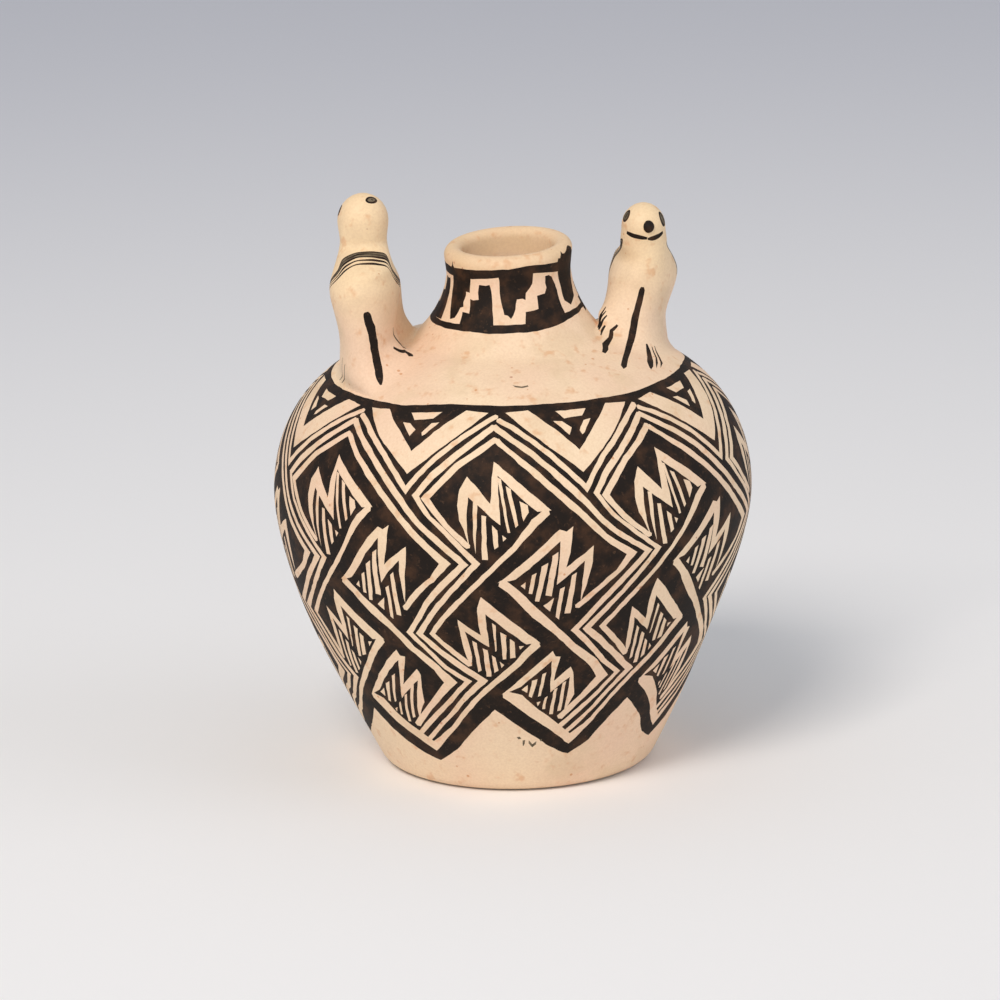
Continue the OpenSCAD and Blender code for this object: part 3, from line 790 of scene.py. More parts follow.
print("stripes on a strap:", len(STRIPES))

# %% Chest, rump, toes, mouth and nose of both
STROKES = [  # width, and (angle, share of the height k, share of the width)
    # rump
    (0.92, [(91.5, 5.6, .45), (92.3, 5.35, .8), (95, 4.7, .95), (99, 4.06), (105, 2.24), (107, 0.8, .8),
            (107, 0.3, .25)]),
    # hind toes of one side, then of the other
    (0.3, [(155, 3.2, .4), (157, 1.9), (163, 0.9, 1.3), (168, 0.35, 1.2)]),
    (0.42, [(140, 1.7, .7), (149, 0.9, 1.1), (158, 0.5, .9)]),
    (0.42, [(153, 0.8, .7), (155, 0.35, 1.6), (151, 0.16, 1.1)]),
    (0.14, [(34.5, 2.0, .6), (22, 0.9), (7.5, 0.08, .6)]),
    (0.12, [(26, 2.3, .6), (13, 0.9), (0, 0.1, .6)]),
]
MOUTH = [  # in two goes of the brush, as mm below the top of the head's straight part
    (0.42, [(-153, 0.3, .7), (-133.5, 0.5, 1.1), (-112, 0.66, 1.1), (-94, 0.8, .6)]),
    (0.46, [(-93, 0.86, .4), (-80, 0.84, 1.1), (-62, 0.7, 1.15), (-43, 0.45, .7)]),
]
for figure in figures:
    k = figure.k
    if figure.side == -1:  # the other one's chest stroke is carried on over the foot, below
        brush_on(figure, [(-94.5, 6.26 * k, .7), (-97.5, 3.64 * k), (-103, 0.6 * k), (-104, 0.15, .6)],
                 0.7)
    for width, corners in STROKES:
        brush_on(figure, [(p[0], p[1] * k) + p[2:] for p in corners], width)
    for width, corners in MOUTH:
        brush_on(figure, [(a, figure.top - down, w) for a, down, w in corners], width)
    spot_on(figure, -90, NOSE_AT, (1.14, 1.26), PAINT, count=28)
print("strokes on each figure:", len(STROKES) + len(MOUTH))

# %% Eyes
EYES = {1: [(-171, 32, 1.3, 1.35), (-33, 21, 1.3, 1.6)], -1: [(-7, 24, 1.0, 1.2), (121, 56, 1.45, 0.95)]}
RIM, PUPIL, PUPIL_SHORTER = 0.46, 0.16, 0.7  # mm
for figure in figures:
    for a, h, wide, high in EYES[figure.side]:
        spot_on(figure, a, h, (wide, high), PAINT)
        spot_on(figure, a, h, (wide - RIM, high - RIM), WASH, count=14)
        spot_on(figure, a + 2, h, (PUPIL, high - PUPIL_SHORTER), PAINT, count=8)
print("eyes:", sum(len(e) for e in EYES.values()))

# %% Chest and toes of the figure that faces the camera
right, left = figures
OVER_FOOT = [  # corners on the figure, width, points of the ring it crosses, corners on the wall
    ([(-94.5, 6.45, .45), (-94.7, 6.15, .85), (-97.5, 3.64), (-102.5, 1.2, 1.05), (-104.4, 0.45, .95)],
     0.68, [103, 102, 101], [(57.5, 50.4), (51.6, 49.6), (50.3, 48.95), (53.0, 49.1), (60.0, 50.05)]),
    ([(-119, 1.95, .5), (-123.5, 1.15, .9), (-122, 0.45)], 0.46,
     [96, 95, 94], [(59.3, 52.95), (54.2, 52.4), (54.4, 52.0), (59.8, 52.35)]),
    ([(-79, 0.75, .4), (-78, 0.3)], 0.5,
     [114, 113, 112, 111], [(66.5, 48.65), (62.8, 47.9), (62.2, 47.6), (65.4, 47.8), (69.5, 48.25)]),
    ([(-69.5, 0.55, .5), (-69, 0.2)], 0.17, [117, 116], [(70.1, 48.05), (65.3, 47.4), (70.8, 47.85)]),
    ([(-63.5, 0.6, .5), (-63.5, 0.2)], 0.17, [119, 118], [(72.3, 47.7), (67.6, 47.2), (73.0, 47.5)]),
]
for corners, width, ring, ends in OVER_FOOT:
    brush_over_foot(right, corners, width, ring, ends)
TOES = [
    (right, 0.25, [(-142.5, 3.6, .5), (-144, 1.6), (-146, 0.3, .6)]),
    (right, 0.25, [(-134.5, 2.6, .6), (-138, 1.1), (-139, 0.3, .6)]),
    (right, 0.25, [(-131.5, 1.3, .7), (-133, 0.6), (-131, 0.2, .5)]),
    (right, 0.25, [(-138.5, 3.1, .4), (-142, 1.4), (-143, 0.3, .6)]),
    (left, 0.28, [(-142.5, 3.9, .5), (-146, 0.3, .6)]),
    (left, 0.28, [(-133.5, 2.8, .6), (-137, 0.3, .6)]),
    (left, 0.28, [(-122, 1.6), (-121, 0.3)]),
    (left, 0.28, [(-78, 0.7), (-77, 0.2)]),
    (left, 0.28, [(-66, 0.6), (-66, 0.2)]),
]
for figure, width, corners in TOES:
    brush_on(figure, corners, width)
print("figures' outlines:", [len(o) for o in figure_paint.values()])

# %% [markdown]
# Where a figure stands, the wall gets a hole whose rim is the figure's lowest ring, so that wall and
# figure share their points and the clay runs from one into the other without a break. The mouth is a
# hole as well: there the wall ends at the top of the lip, and the hollow takes over.

# %% Points for the wall
ROWS = ((0.37, 2.3, 0.37), (3.4, 50, 1.35), (50.4, 60.8, 0.7), (61.2, END - 0.1, 0.24))  # from, to, apart
RING_CLEAR = 0.25  # mm that the other points keep off a foot ring
wall_rows = np.concatenate([np.arange(*span) for span in ROWS])
spots = [((360.0 / ROUND) * (i + 0.5 * (j % 2)), s) for j, s in enumerate(wall_rows) for i in range(ROUND)]
kept = np.ones(len(spots), bool)
for ring in foot_rings:
    gap = np.array(spots)[:, None] - ring[None]
    gap[..., 0] = ((gap[..., 0] + 180) % 360 - 180) * per_degree(ring[None, :, 1])
    kept &= np.hypot(gap[..., 0], gap[..., 1]).min(1) > RING_CLEAR
spots = [p for p, keep in zip(spots, kept) if keep]
print("rows:", len(wall_rows), ", points off the outlines:", len(spots))

# %% Cutting the wall
holes = [([tuple(p) for p in ring], HOLE) for ring in foot_rings]
holes.append(([(360.0 / ROUND * i, END) for i in range(ROUND)], HOLE))
wall_at, wall_faces, wall_colours, wall_number = cut(spots, outlines + holes, wall_to_disc, disc_to_wall)
first = len(spots) + sum(len(o) for o, _ in outlines)
ring_ids = []
for ring in foot_rings:
    ring_ids.append([wall_number[first + i] for i in range(SIDES)])
    first += SIDES
lip_ids = [wall_number[first + i] for i in range(ROUND)]
foot_ids = [wall_number[len(spots) + i] for i in range(ROUND)]
print("wall:", len(wall_at), "points,", len(wall_faces), "triangles,",
      int((wall_colours == PAINT).sum()), "painted")

# %% [markdown]
# A figure's skin is cut in the same way. Its flat map is a disc as well, with the crest of the head in
# the middle: the angle round the figure stays the angle, and each step up shrinks the disc by the share
# that the step takes of the ring's size. Rows lie close in the smoothed clay at the feet, where the
# surface turns fast.

# %% Flat map of a figure
FOOT_ROWS, BODY_ROWS = 12, 34
CREST = 90          # degrees of the dome from the head's side to its crest
CROWN_STEP = 15.0   # degrees from point to point of the last rows under the crest
CROWN = int(360 / CROWN_STEP)


def figure_rows(figure):
    """Heights of a figure's rows, from the foot ring to the last one under the crest."""
    foot = [JOIN_FEET * (i / (FOOT_ROWS + 1)) ** 2 for i in range(1, FOOT_ROWS + 1)]
    body = list(np.linspace(JOIN_FEET, figure.top, BODY_ROWS))
    return [0.0] + foot + body + [figure.top + a for a in range(12, CREST, 13)]


def figure_maps(figure):
    """The way from (angle, height) to the disc and back for one figure."""
    rows = np.array(figure_rows(figure) + [figure.top + CREST])
    turn_round = np.arange(0, 360, CROWN_STEP)
    rings = [figure.points(np.stack([turn_round, np.full(CROWN, h)], 1)) for h in rows]
    size = np.array([np.linalg.norm(r - r.mean(0), axis=1).mean() for r in rings])
    step = np.array([np.linalg.norm(a - b, axis=1).mean() for a, b in zip(rings, rings[1:])])
    rho = 10 * np.exp(-np.concatenate([[0], np.cumsum(2 * step[:-1] / (size[:-2] + size[1:-1]))]))
    rho = np.append(rho, 0)

    def flat(at):
        angle, r = np.radians(at[:, 0]), np.interp(at[:, 1], rows, rho)
        return np.stack([r * np.cos(angle), r * np.sin(angle)], 1)

    def back(xy):
        r = np.hypot(xy[:, 0], xy[:, 1])
        return np.stack([np.degrees(np.arctan2(xy[:, 1], xy[:, 0])), np.interp(-r, -rho, rows)], 1)

    return flat, back


print("rows of the figures:", [len(figure_rows(f)) for f in figures])

# %% Skins of the figures
NOSE_CLEAR = 1.12  # the plain rows stop at this share of the nose's reach
NOSE_RINGS = ((0.3, 6), (0.55, 12), (0.78, 18), (0.92, 24), (1.08, 24))  # share of the reach, points


def figure_skin(figure):
    """Points, triangles and colours of a figure, and the numbers of its foot ring's points."""
    rows = figure_rows(figure)[1:]
    spots = [((360.0 / SIDES) * (i + 0.5 * (j % 2)), h) for j, h in enumerate(rows[:-2])
             for i in range(SIDES)]
    spots += [(CROWN_STEP * i, h) for h in rows[-2:] for i in range(CROWN)]
    spots.append((0.0, figure.top + CREST))
    away = np.array([np.hypot(a - 270, (h - figure.top - NOSE_AT) if h > figure.top
                              else (h - figure.top) / DEGREE_MM - NOSE_AT) for a, h in spots])
    spots = [p for p, d in zip(spots, away) if d > NOSE_CLEAR * NOSE_REACH]
    for share, count in NOSE_RINGS:
        for i in range(count):
            t = 2 * math.pi * (i + 0.5) / count
            up = NOSE_AT + share * NOSE_REACH * math.sin(t)
            spots.append((-90 + share * NOSE_REACH * math.cos(t),
                          figure.top + (up if up > 0 else up * DEGREE_MM)))
    spots.append((-90.0, figure.top + NOSE_AT))
    rim = [((360.0 / SIDES) * i, 0.0) for i in range(SIDES)]
    flat, back = figure_maps(figure)
    at, faces, colours, number = cut(spots, [(rim, SLIP)] + figure_paint[figure.side], flat, back)
    return at, faces, colours, [number[len(spots) + i] for i in range(SIDES)]


skins = [figure_skin(f) for f in figures]
for f, skin in zip(figures, skins):
    print("figure on side", f.side, ":", len(skin[0]), "points,", len(skin[1]), "triangles")

# %% [markdown]
# The hollow is a plain turned form, so Geometry Nodes make it: a grid is wrapped round the axis, and each
# of its rows takes its place on the profile, which runs from the top of the lip down the inside of the
# neck and the wall to the middle of the floor. The rows crowd together at the lip, where the profile
# bends most. The result is made a plain mesh, and the modifier goes.

# %% Profile of the hollow
WALL, FLOOR_T = 2.3, 2.8
inner = []
# every 20th or 25th point of the outer wall is enough
outer = np.concatenate([low_wall[::25], crown[25::20], collar[20::25]])
for i, p in enumerate(outer):
    way = outer[min(i + 1, len(outer) - 1)] - outer[max(i - 1, 0)]
    way /= np.hypot(*way)
    thick = WALL + (LIP_T - WALL) * min(max((p[1] - TURN_Z) / (NECK_Z - TURN_Z), 0), 1)
    inner.append(p + thick * np.array([-way[1], way[0]]))
inner = np.array([p for p in inner if p[1] > FLOOR_T + WALL])
edge, slope = inner[0], (inner[1] - inner[0]) / np.hypot(*(inner[1] - inner[0]))
bowl = curve((0, FLOOR_T), (0.6 * edge[0], FLOOR_T), edge - WALL / 2 * slope, edge, 14)
hollow_line = np.concatenate([arc(lip_mid, LIP_T / 2, 90, 180, 13), inner[::-1], bowl[::-1][1:]])
line_mesh = bpy.data.meshes.new("hollow_line")
line_mesh.from_pydata([(r * MM, 0, z * MM) for r, z in hollow_line],
                      [(i, i + 1) for i in range(len(hollow_line) - 1)], [])
hollow_object = bpy.data.objects.new("hollow_line", line_mesh)
bpy.context.scene.collection.objects.link(hollow_object)
print("hollow's profile:", len(hollow_line), "points")


# %% Adding a node
def add(tree, kind, links=None, **settings):
    """Adds a node with its settings, and fills its inputs with values or links."""
    node = tree.nodes.new(kind)
    values = settings.pop("inputs", {})
    for name, value in settings.items():
        setattr(node, name, value)
    for name, value in values.items():
        node.inputs[name].default_value = value
    for name, source in (links or {}).items():
        tree.links.new(source, node.inputs[name])
    return node


clay_inside = bpy.data.materials.new("bare_fired_clay")
print("material of the hollow:", clay_inside.name)

# %% Sizes that the hollow's tree takes
turning = bpy.data.node_groups.new("turned_hollow", "GeometryNodeTree")
turning.interface.new_socket("Geometry", in_out="INPUT", socket_type="NodeSocketGeometry")
sizes = {}
for name, kind, value in (("Points round", "NodeSocketInt", ROUND), ("Rows", "NodeSocketInt", 92),
                          ("Crowding at the lip", "NodeSocketFloat", 1.8)):
    socket = turning.interface.new_socket(name, in_out="INPUT", socket_type=kind)
    socket.default_value = value
    sizes[name] = (socket.identifier, value)
material_socket = turning.interface.new_socket("Clay", in_out="INPUT", socket_type="NodeSocketMaterial")
turning.interface.new_socket("Geometry", in_out="OUTPUT", socket_type="NodeSocketGeometry")
print("inputs:", [i.name for i in turning.interface.items_tree if i.in_out == "INPUT"])

# %% Tree of the turned hollow
given = add(turning, "NodeGroupInput").outputs
line = add(turning, "GeometryNodeMeshToCurve", {"Mesh": given["Geometry"]})
columns = add(turning, "ShaderNodeMath", {0: given["Points round"]}, operation="ADD", inputs={1: 1.0})
grid = add(turning, "GeometryNodeMeshGrid", {"Vertices X": columns.outputs[0], "Vertices Y": given["Rows"]},
           inputs={"Size X": 1.0, "Size Y": 1.0})
position = add(turning, "GeometryNodeInputPosition")
parts = add(turning, "ShaderNodeSeparateXYZ", {0: position.outputs[0]})
down = add(turning, "ShaderNodeMath", {0: parts.outputs["Y"]}, operation="ADD", use_clamp=True,
           inputs={1: 0.5})
crowded = add(turning, "ShaderNodeMath", {0: down.outputs[0], 1: given["Crowding at the lip"]},
              operation="POWER")
on_line = add(turning, "GeometryNodeSampleCurve", {"Curves": line.outputs[0], "Factor": crowded.outputs[0]},
              mode="FACTOR")
turned_by = add(turning, "ShaderNodeMath", {0: parts.outputs["X"]}, operation="MULTIPLY",
                inputs={1: 2 * math.pi})
wrapped = add(turning, "ShaderNodeVectorRotate",
              {"Vector": on_line.outputs["Position"], "Angle": turned_by.outputs[0]},
              rotation_type="Z_AXIS")
placed = add(turning, "GeometryNodeSetPosition",
             {"Geometry": grid.outputs["Mesh"], "Position": wrapped.outputs[0]})
closed = add(turning, "GeometryNodeMergeByDistance", {"Geometry": placed.outputs[0]},
             inputs={"Distance": 1e-6})
real = add(turning, "GeometryNodeRealizeInstances", {"Geometry": closed.outputs[0]})
dressed = add(turning, "GeometryNodeSetMaterial", {"Geometry": real.outputs[0], "Material": given["Clay"]})
add(turning, "NodeGroupOutput", {0: dressed.outputs[0]})
print("nodes:", len(turning.nodes))

# %% The hollow as a plain mesh
turner = hollow_object.modifiers.new("turned_hollow", "NODES")
turner.node_group = turning
for identifier, value in sizes.values():
    turner[identifier] = value
turner[material_socket.identifier] = clay_inside
bpy.context.view_layer.update()
depsgraph = bpy.context.evaluated_depsgraph_get()
hollow_mesh = bpy.data.meshes.new_from_object(hollow_object.evaluated_get(depsgraph))
hollow_object.modifiers.remove(turner)
bpy.data.objects.remove(hollow_object)
hollow_points = np.array([v.co for v in hollow_mesh.vertices]) / MM
hollow_faces = [tuple(p.vertices) for p in hollow_mesh.polygons]
print("hollow:", len(hollow_points), "points,", len(hollow_faces), "faces")

# %% [markdown]
# Now wall, figures, hollow and foot become one closed mesh, because the jar was fired in one piece. The
# parts meet in rings of shared points. The normals come from the smooth forms and not from the
# triangles, so that the cuts made for the paint don't show in the light.

# %% Adding a part to the mesh
points, normals, faces, colours = [], [], [], []


def add_part(part_points, part_normals, part_faces, part_colours, shared=None):
    """Adds a part to the mesh. Shared gives, for some of its points, the number of one already there."""
    shared, ids = shared or {}, []
    for i, (p, n) in enumerate(zip(part_points, part_normals)):
        if i in shared:
            ids.append(shared[i])
        else:
            ids.append(len(points))
            points.append(p)
            normals.append(n)
    for face, colour in zip(part_faces, part_colours):
        faces.append([ids[i] for i in face])
        colours.append(int(colour))
    return ids


print("colours as numbers:", {"slip": SLIP, "paint": PAINT, "bare": BARE, "wash": WASH})

# %% Wall and figures
WALL_STEP, SKIN_STEP = (0.5, 0.12), (0.5, 0.02)  # degrees and mm over which a normal is felt
NEAR_CREST = 6                                   # degrees under the crest where the normal is plain up
wall_points = on_wall(wall_at)
wall_normals = normals_of(on_wall, wall_at, WALL_STEP)
wall_normals[lip_ids] = (0, 0, 1)
wall_normals[foot_ids] = normals_of(on_wall, wall_at[foot_ids] + (0, 0.2), WALL_STEP)
add_part(wall_points, wall_normals, wall_faces, wall_colours)
for figure, (at, skin_faces, skin_colours, rim), ring in zip(figures, skins, ring_ids):
    skin_normals = normals_of(figure.points, np.maximum(at, (-999, SKIN_STEP[1])), SKIN_STEP)
    high = at[:, 1] > figure.top + CREST - NEAR_CREST
    skin_normals[high] = (0, 0, 1)
    add_part(figure.points(at), skin_normals, skin_faces, skin_colours, dict(zip(rim, ring)))
print("wall and figures:", len(points), "points")

# %% The hollow joins the lip
KEYS_PER_MM = 200       # points of the lip ring are found by place, to 1/200 mm
BARE_BELOW = 1.5        # mm below the neck's top where the slip ends inside
by_place = {tuple(np.round(wall_points[i] * KEYS_PER_MM).astype(int)): i for i in lip_ids}
hollow_points = by_hand(hollow_points)
shared = {}
for i, p in enumerate(hollow_points):
    key = tuple(np.round(p * KEYS_PER_MM).astype(int))
    for near in [(0, 0, 0)] + [(a, b, c) for a in (-1, 0, 1) for b in (-1, 0, 1) for c in (-1, 0, 1)]:
        spot = by_place.get(tuple(k + n for k, n in zip(key, near)))
        if spot is not None:
            shared[i] = spot
            break
hollow_normals = np.array([n.vector for n in hollow_mesh.vertex_normals])
mids = hollow_points[[f[0] for f in hollow_faces]]
inwards = -np.stack([mids[:, 0], mids[:, 1], np.zeros(len(mids))], 1)
face_way = np.array([p.normal for p in hollow_mesh.polygons])
flip = np.sum(face_way * inwards) < 0
if flip:
    hollow_faces, hollow_normals = [f[::-1] for f in hollow_faces], -hollow_normals
low_enough = [BARE if hollow_points[list(f), 2].max() < NECK_Z - BARE_BELOW else SLIP
              for f in hollow_faces]
add_part(hollow_points, hollow_normals, hollow_faces, low_enough, shared)
print("lip ring shared:", len(shared), "of", ROUND, "points; hollow turned round:", bool(flip))

# %% The foot's underside
ids = list(foot_ids)
centre = len(points)
points.append((0.0, 0.0, 0.0))
normals.append((0.0, 0.0, -1.0))
for share in (0.7, 0.35):
    ring = []
    for i in foot_ids:
        ring.append(len(points))
        points.append(tuple(wall_points[i] * (share, share, 0)))
        normals.append((0.0, 0.0, -1.0))
    for i in range(ROUND):
        j = (i + 1) % ROUND
        faces.append([ids[i], ring[i], ring[j], ids[j]])
        colours.append(SLIP)
    ids = ring
for i in range(ROUND):
    faces.append([ids[i], centre, ids[(i + 1) % ROUND]])
    colours.append(SLIP)
print("with the underside:", len(points), "points,", len(faces), "faces")

# %% The jar
jar_mesh = bpy.data.meshes.new("painted_jar")
jar_mesh.from_pydata([tuple(float(c) * MM for c in p) for p in points], [], faces)
jar = bpy.data.objects.new("painted_jar", jar_mesh)
bpy.context.scene.collection.objects.link(jar)
jar_mesh.polygons.foreach_set("material_index", colours)
jar_mesh.polygons.foreach_set("use_smooth", [True] * len(faces))
jar_mesh.normals_split_custom_set_from_vertices([tuple(float(c) for c in n) for n in normals])
jar_mesh.update()
sides = {}
for p in jar_mesh.polygons:
    for key in p.edge_keys:
        sides[key] = sides.get(key, 0) + 1
jar_mesh.calc_loop_triangles()
volume = sum(Vector(jar_mesh.vertices[t.vertices[0]].co).dot(
    Vector(jar_mesh.vertices[t.vertices[1]].co).cross(jar_mesh.vertices[t.vertices[2]].co))
    for t in jar_mesh.loop_triangles) / 6
print("jar:", len(jar_mesh.loop_triangles), "triangles, open or doubled sides:",
      sum(1 for n in sides.values() if n != 2), ", clay", round(volume / MM ** 3), "mm3")

# %% [markdown]
# The slip is a thin coat of fine cream clay, rubbed smooth with a stone while it was damp and fired
# without a glaze. It scatters light evenly, with only a faint sheen from the rubbing. Its colour drifts a
# little towards peach and towards grey over a centimetre or so, it has a fine grain, and small iron specks
# show through it. All patterns are in object coordinates with their sizes in millimetres.

# %% Colours and sizes of patterns
def colour_of(hex_code):
    """An sRGB hex colour as the linear colour that nodes take."""
    parts = [int(hex_code[i:i + 2], 16) / 255 for i in (1, 3, 5)]
    return tuple(c / 12.92 if c <= 0.04045 else ((c + 0.055) / 1.055) ** 2.4 for c in parts) + (1.0,)


def per_mm(size):
    """The scale of a pattern whose features are this many millimetres apart."""
    return 1 / (size * MM)


MIX_A, MIX_B, MIXED = 6, 7, 2  # the colour sockets of a Mix node
RAMP = {"clamp": True, "interpolation_type": "SMOOTHSTEP"}
CREASE = on_wall(np.array([(-8.0, 55.6)]))[0]  # a place at the foot of the neck, below the figure at +X
print("the crease lies at", CREASE.round(1), "mm")

# %% Slip: the drift of its colour
slip = bpy.data.materials.new("stone_rubbed_cream_slip")
slip.use_nodes = True
tree = slip.node_tree
tree.nodes.clear()
where = add(tree, "ShaderNodeTexCoord").outputs["Object"]
# peach and cream drift into each other over a centimetre: the slip was wiped on by hand
drift = add(tree, "ShaderNodeTexNoise", {"Vector": where}, inputs={"Scale": per_mm(14), "Detail": 2.0})
drift_share = add(tree, "ShaderNodeMapRange", {"Value": drift.outputs["Fac"]}, **RAMP,
                  inputs={"From Min": 0.35, "From Max": 0.68})
creamy = add(tree, "ShaderNodeMix", {0: drift_share.outputs[0]}, data_type="RGBA",
             inputs={MIX_A: colour_of("#F8DDBB"), MIX_B: colour_of("#F5D2B4")})
# on the figures it lies thicker and fired more yellow
parts_of = add(tree, "ShaderNodeSeparateXYZ", {0: where})
aside = add(tree, "ShaderNodeMath", {0: parts_of.outputs["X"]}, operation="ABSOLUTE")
aside_share = add(tree, "ShaderNodeMapRange", {"Value": aside.outputs[0]}, **RAMP,
                  inputs={"From Min": 9 * MM, "From Max": 14 * MM})
up_share = add(tree, "ShaderNodeMapRange", {"Value": parts_of.outputs["Z"]}, **RAMP,
               inputs={"From Min": 44 * MM, "From Max": 52 * MM, "To Max": 0.75})
yellow_share = add(tree, "ShaderNodeMath", {0: aside_share.outputs[0], 1: up_share.outputs[0]},
                   operation="MULTIPLY")
yellowed = add(tree, "ShaderNodeMix", {0: yellow_share.outputs[0], MIX_A: creamy.outputs[MIXED]},
               data_type="RGBA", inputs={MIX_B: colour_of("#F9DCAE")})
print("drift of the slip:", len(tree.nodes), "nodes")

# %% Slip: wear, dirt and painted shade
# greyer patches, where fingers and the stone left it thinner
patches = add(tree, "ShaderNodeTexNoise", {"Vector": where}, inputs={"Scale": per_mm(4.5), "Detail": 3.0})
patch_share = add(tree, "ShaderNodeMapRange", {"Value": patches.outputs["Fac"]}, **RAMP,
                  inputs={"From Min": 0.48, "From Max": 0.7, "To Max": 0.5})
patchy = add(tree, "ShaderNodeMix", {0: patch_share.outputs[0], MIX_A: yellowed.outputs[MIXED]},
             data_type="RGBA", inputs={MIX_B: colour_of("#E3C7A2")})
# the lip and the top of the neck, away from the figures, are made darker and yellower
lip_share = add(tree, "ShaderNodeMapRange", {"Value": parts_of.outputs["Z"]}, **RAMP,
                inputs={"From Min": 50 * MM, "From Max": 51.2 * MM, "To Max": 0.5})
near_neck = add(tree, "ShaderNodeMath", {1: aside_share.outputs[0]}, operation="SUBTRACT",
                inputs={0: 1.0})
lip_tint_share = add(tree, "ShaderNodeMath", {0: lip_share.outputs[0], 1: near_neck.outputs[0]},
              operation="MULTIPLY")
lip_tinted = add(tree, "ShaderNodeMix", {0: lip_tint_share.outputs[0], MIX_A: patchy.outputs[MIXED]},
               data_type="RGBA", inputs={MIX_B: colour_of("#EBC99A")})
# and the creases between neck and figures are darkened brown: painted shade there, with a little brown dirt
crease_side = add(tree, "ShaderNodeCombineXYZ", {"X": aside.outputs[0], "Y": parts_of.outputs["Y"],
                                                 "Z": parts_of.outputs["Z"]})
crease_far = add(tree, "ShaderNodeVectorMath", {0: crease_side.outputs[0]}, operation="DISTANCE",
                 inputs={1: [c * MM for c in CREASE]})
crease_shade_and_dirt_share = add(tree, "ShaderNodeMapRange", {"Value": crease_far.outputs["Value"]}, **RAMP,
                   inputs={"From Min": 1.2 * MM, "From Max": 4.2 * MM, "To Min": 0.6, "To Max": 0.0})
shaded_and_dirty_creases = add(tree, "ShaderNodeMix", {0: crease_shade_and_dirt_share.outputs[0], MIX_A: lip_tinted.outputs[MIXED]},
              data_type="RGBA", inputs={MIX_B: colour_of("#B58E68")})
print("with wear and dirt:", len(tree.nodes), "nodes")

# %% Slip: iron and grain
# rusty blushes of a millimetre, where iron came up in the fire
blush = add(tree, "ShaderNodeTexNoise", {"Vector": where},
            inputs={"Scale": per_mm(1.3), "Detail": 2.0, "Roughness": 0.6})
blush_share = add(tree, "ShaderNodeMapRange", {"Value": blush.outputs["Fac"]}, **RAMP,
                  inputs={"From Min": 0.56, "From Max": 0.76, "To Max": 0.6})
blushed = add(tree, "ShaderNodeMix", {0: blush_share.outputs[0], MIX_A: shaded_and_dirty_creases.outputs[MIXED]},
              data_type="RGBA", inputs={MIX_B: colour_of("#E0A878")})
# the grain of the clay itself
grain = add(tree, "ShaderNodeTexNoise", {"Vector": where},
            inputs={"Scale": per_mm(0.24), "Detail": 2.0, "Roughness": 0.6})
grain_share = add(tree, "ShaderNodeMapRange", {"Value": grain.outputs["Fac"]}, **RAMP,
                  inputs={"From Min": 0.3, "From Max": 0.7, "To Max": 0.2})
grainy = add(tree, "ShaderNodeMix", {0: grain_share.outputs[0], MIX_A: blushed.outputs[MIXED]},
             data_type="RGBA", inputs={MIX_B: colour_of("#CFA985")})
# iron specks of two or three tenths, some of them fine and orange, a few larger and brown
layer = grainy
for apart, largest, low, tint in ((1.25, 0.15, 0.45, "#CF8C58"), (2.3, 0.13, 0.45, "#A9603F")):
    cells = add(tree, "ShaderNodeTexVoronoi", {"Vector": where}, inputs={"Scale": per_mm(apart)})
    crowd = add(tree, "ShaderNodeTexNoise", {"Vector": where}, inputs={"Scale": per_mm(3 * apart)})
    speck_size = add(tree, "ShaderNodeMapRange", {"Value": crowd.outputs["Fac"]}, **RAMP,
                     inputs={"From Min": low, "From Max": 0.72, "To Max": largest})
    edge = add(tree, "ShaderNodeMath", {0: cells.outputs["Distance"], 1: speck_size.outputs[0]},
               operation="SUBTRACT")
    speck = add(tree, "ShaderNodeMapRange", {"Value": edge.outputs[0]}, **RAMP,
                inputs={"From Min": -0.04, "From Max": 0.02, "To Min": 0.7, "To Max": 0.0})
    layer = add(tree, "ShaderNodeMix", {0: speck.outputs[0], MIX_A: layer.outputs[MIXED]}, data_type="RGBA",
                inputs={MIX_B: colour_of(tint)})
print("with iron and grain:", len(tree.nodes), "nodes")

# %% Slip: its surface
# a rubbed surface has shinier and duller patches, and low swells under a fine grain
rubbed = add(tree, "ShaderNodeTexNoise", {"Vector": where}, inputs={"Scale": per_mm(1.7), "Detail": 2.0})
dull = add(tree, "ShaderNodeMapRange", {"Value": rubbed.outputs["Fac"]}, **RAMP,
           inputs={"From Min": 0.3, "From Max": 0.7, "To Min": 0.56, "To Max": 0.72})
swells = add(tree, "ShaderNodeBump", {"Height": rubbed.outputs["Fac"]},
             inputs={"Strength": 1.0, "Distance": 0.035 * MM})
grit = add(tree, "ShaderNodeBump", {"Height": grain.outputs["Fac"], "Normal": swells.outputs[0]},
           inputs={"Strength": 1.0, "Distance": 0.009 * MM})
slip_shader = add(tree, "ShaderNodeBsdfPrincipled",
                  {"Base Color": layer.outputs[MIXED], "Roughness": dull.outputs[0],
                   "Normal": grit.outputs[0]},
                  inputs={"IOR": 1.5, "Specular IOR Level": 0.4})
add(tree, "ShaderNodeOutputMaterial", {"Surface": slip_shader.outputs[0]})
print(slip.name, "has", len(tree.nodes), "nodes")

# %% [markdown]
# The paint is ground iron and manganese earth, boiled with plant juice. It fires to a brown black that
# is as matte as the slip. Where the brush ran dry it is thin, and the brown shows, so the colour changes
# over a millimetre or two, and the grain of the slip wears through in tiny pale dots. The same paint,
# thinned with water, fills the straps and the eyes with a grey olive.

# %% Mineral paint
mineral_paint = bpy.data.materials.new("brown_black_mineral_paint")
mineral_paint.use_nodes = True
tree = mineral_paint.node_tree
tree.nodes.clear()
where = add(tree, "ShaderNodeTexCoord").outputs["Object"]
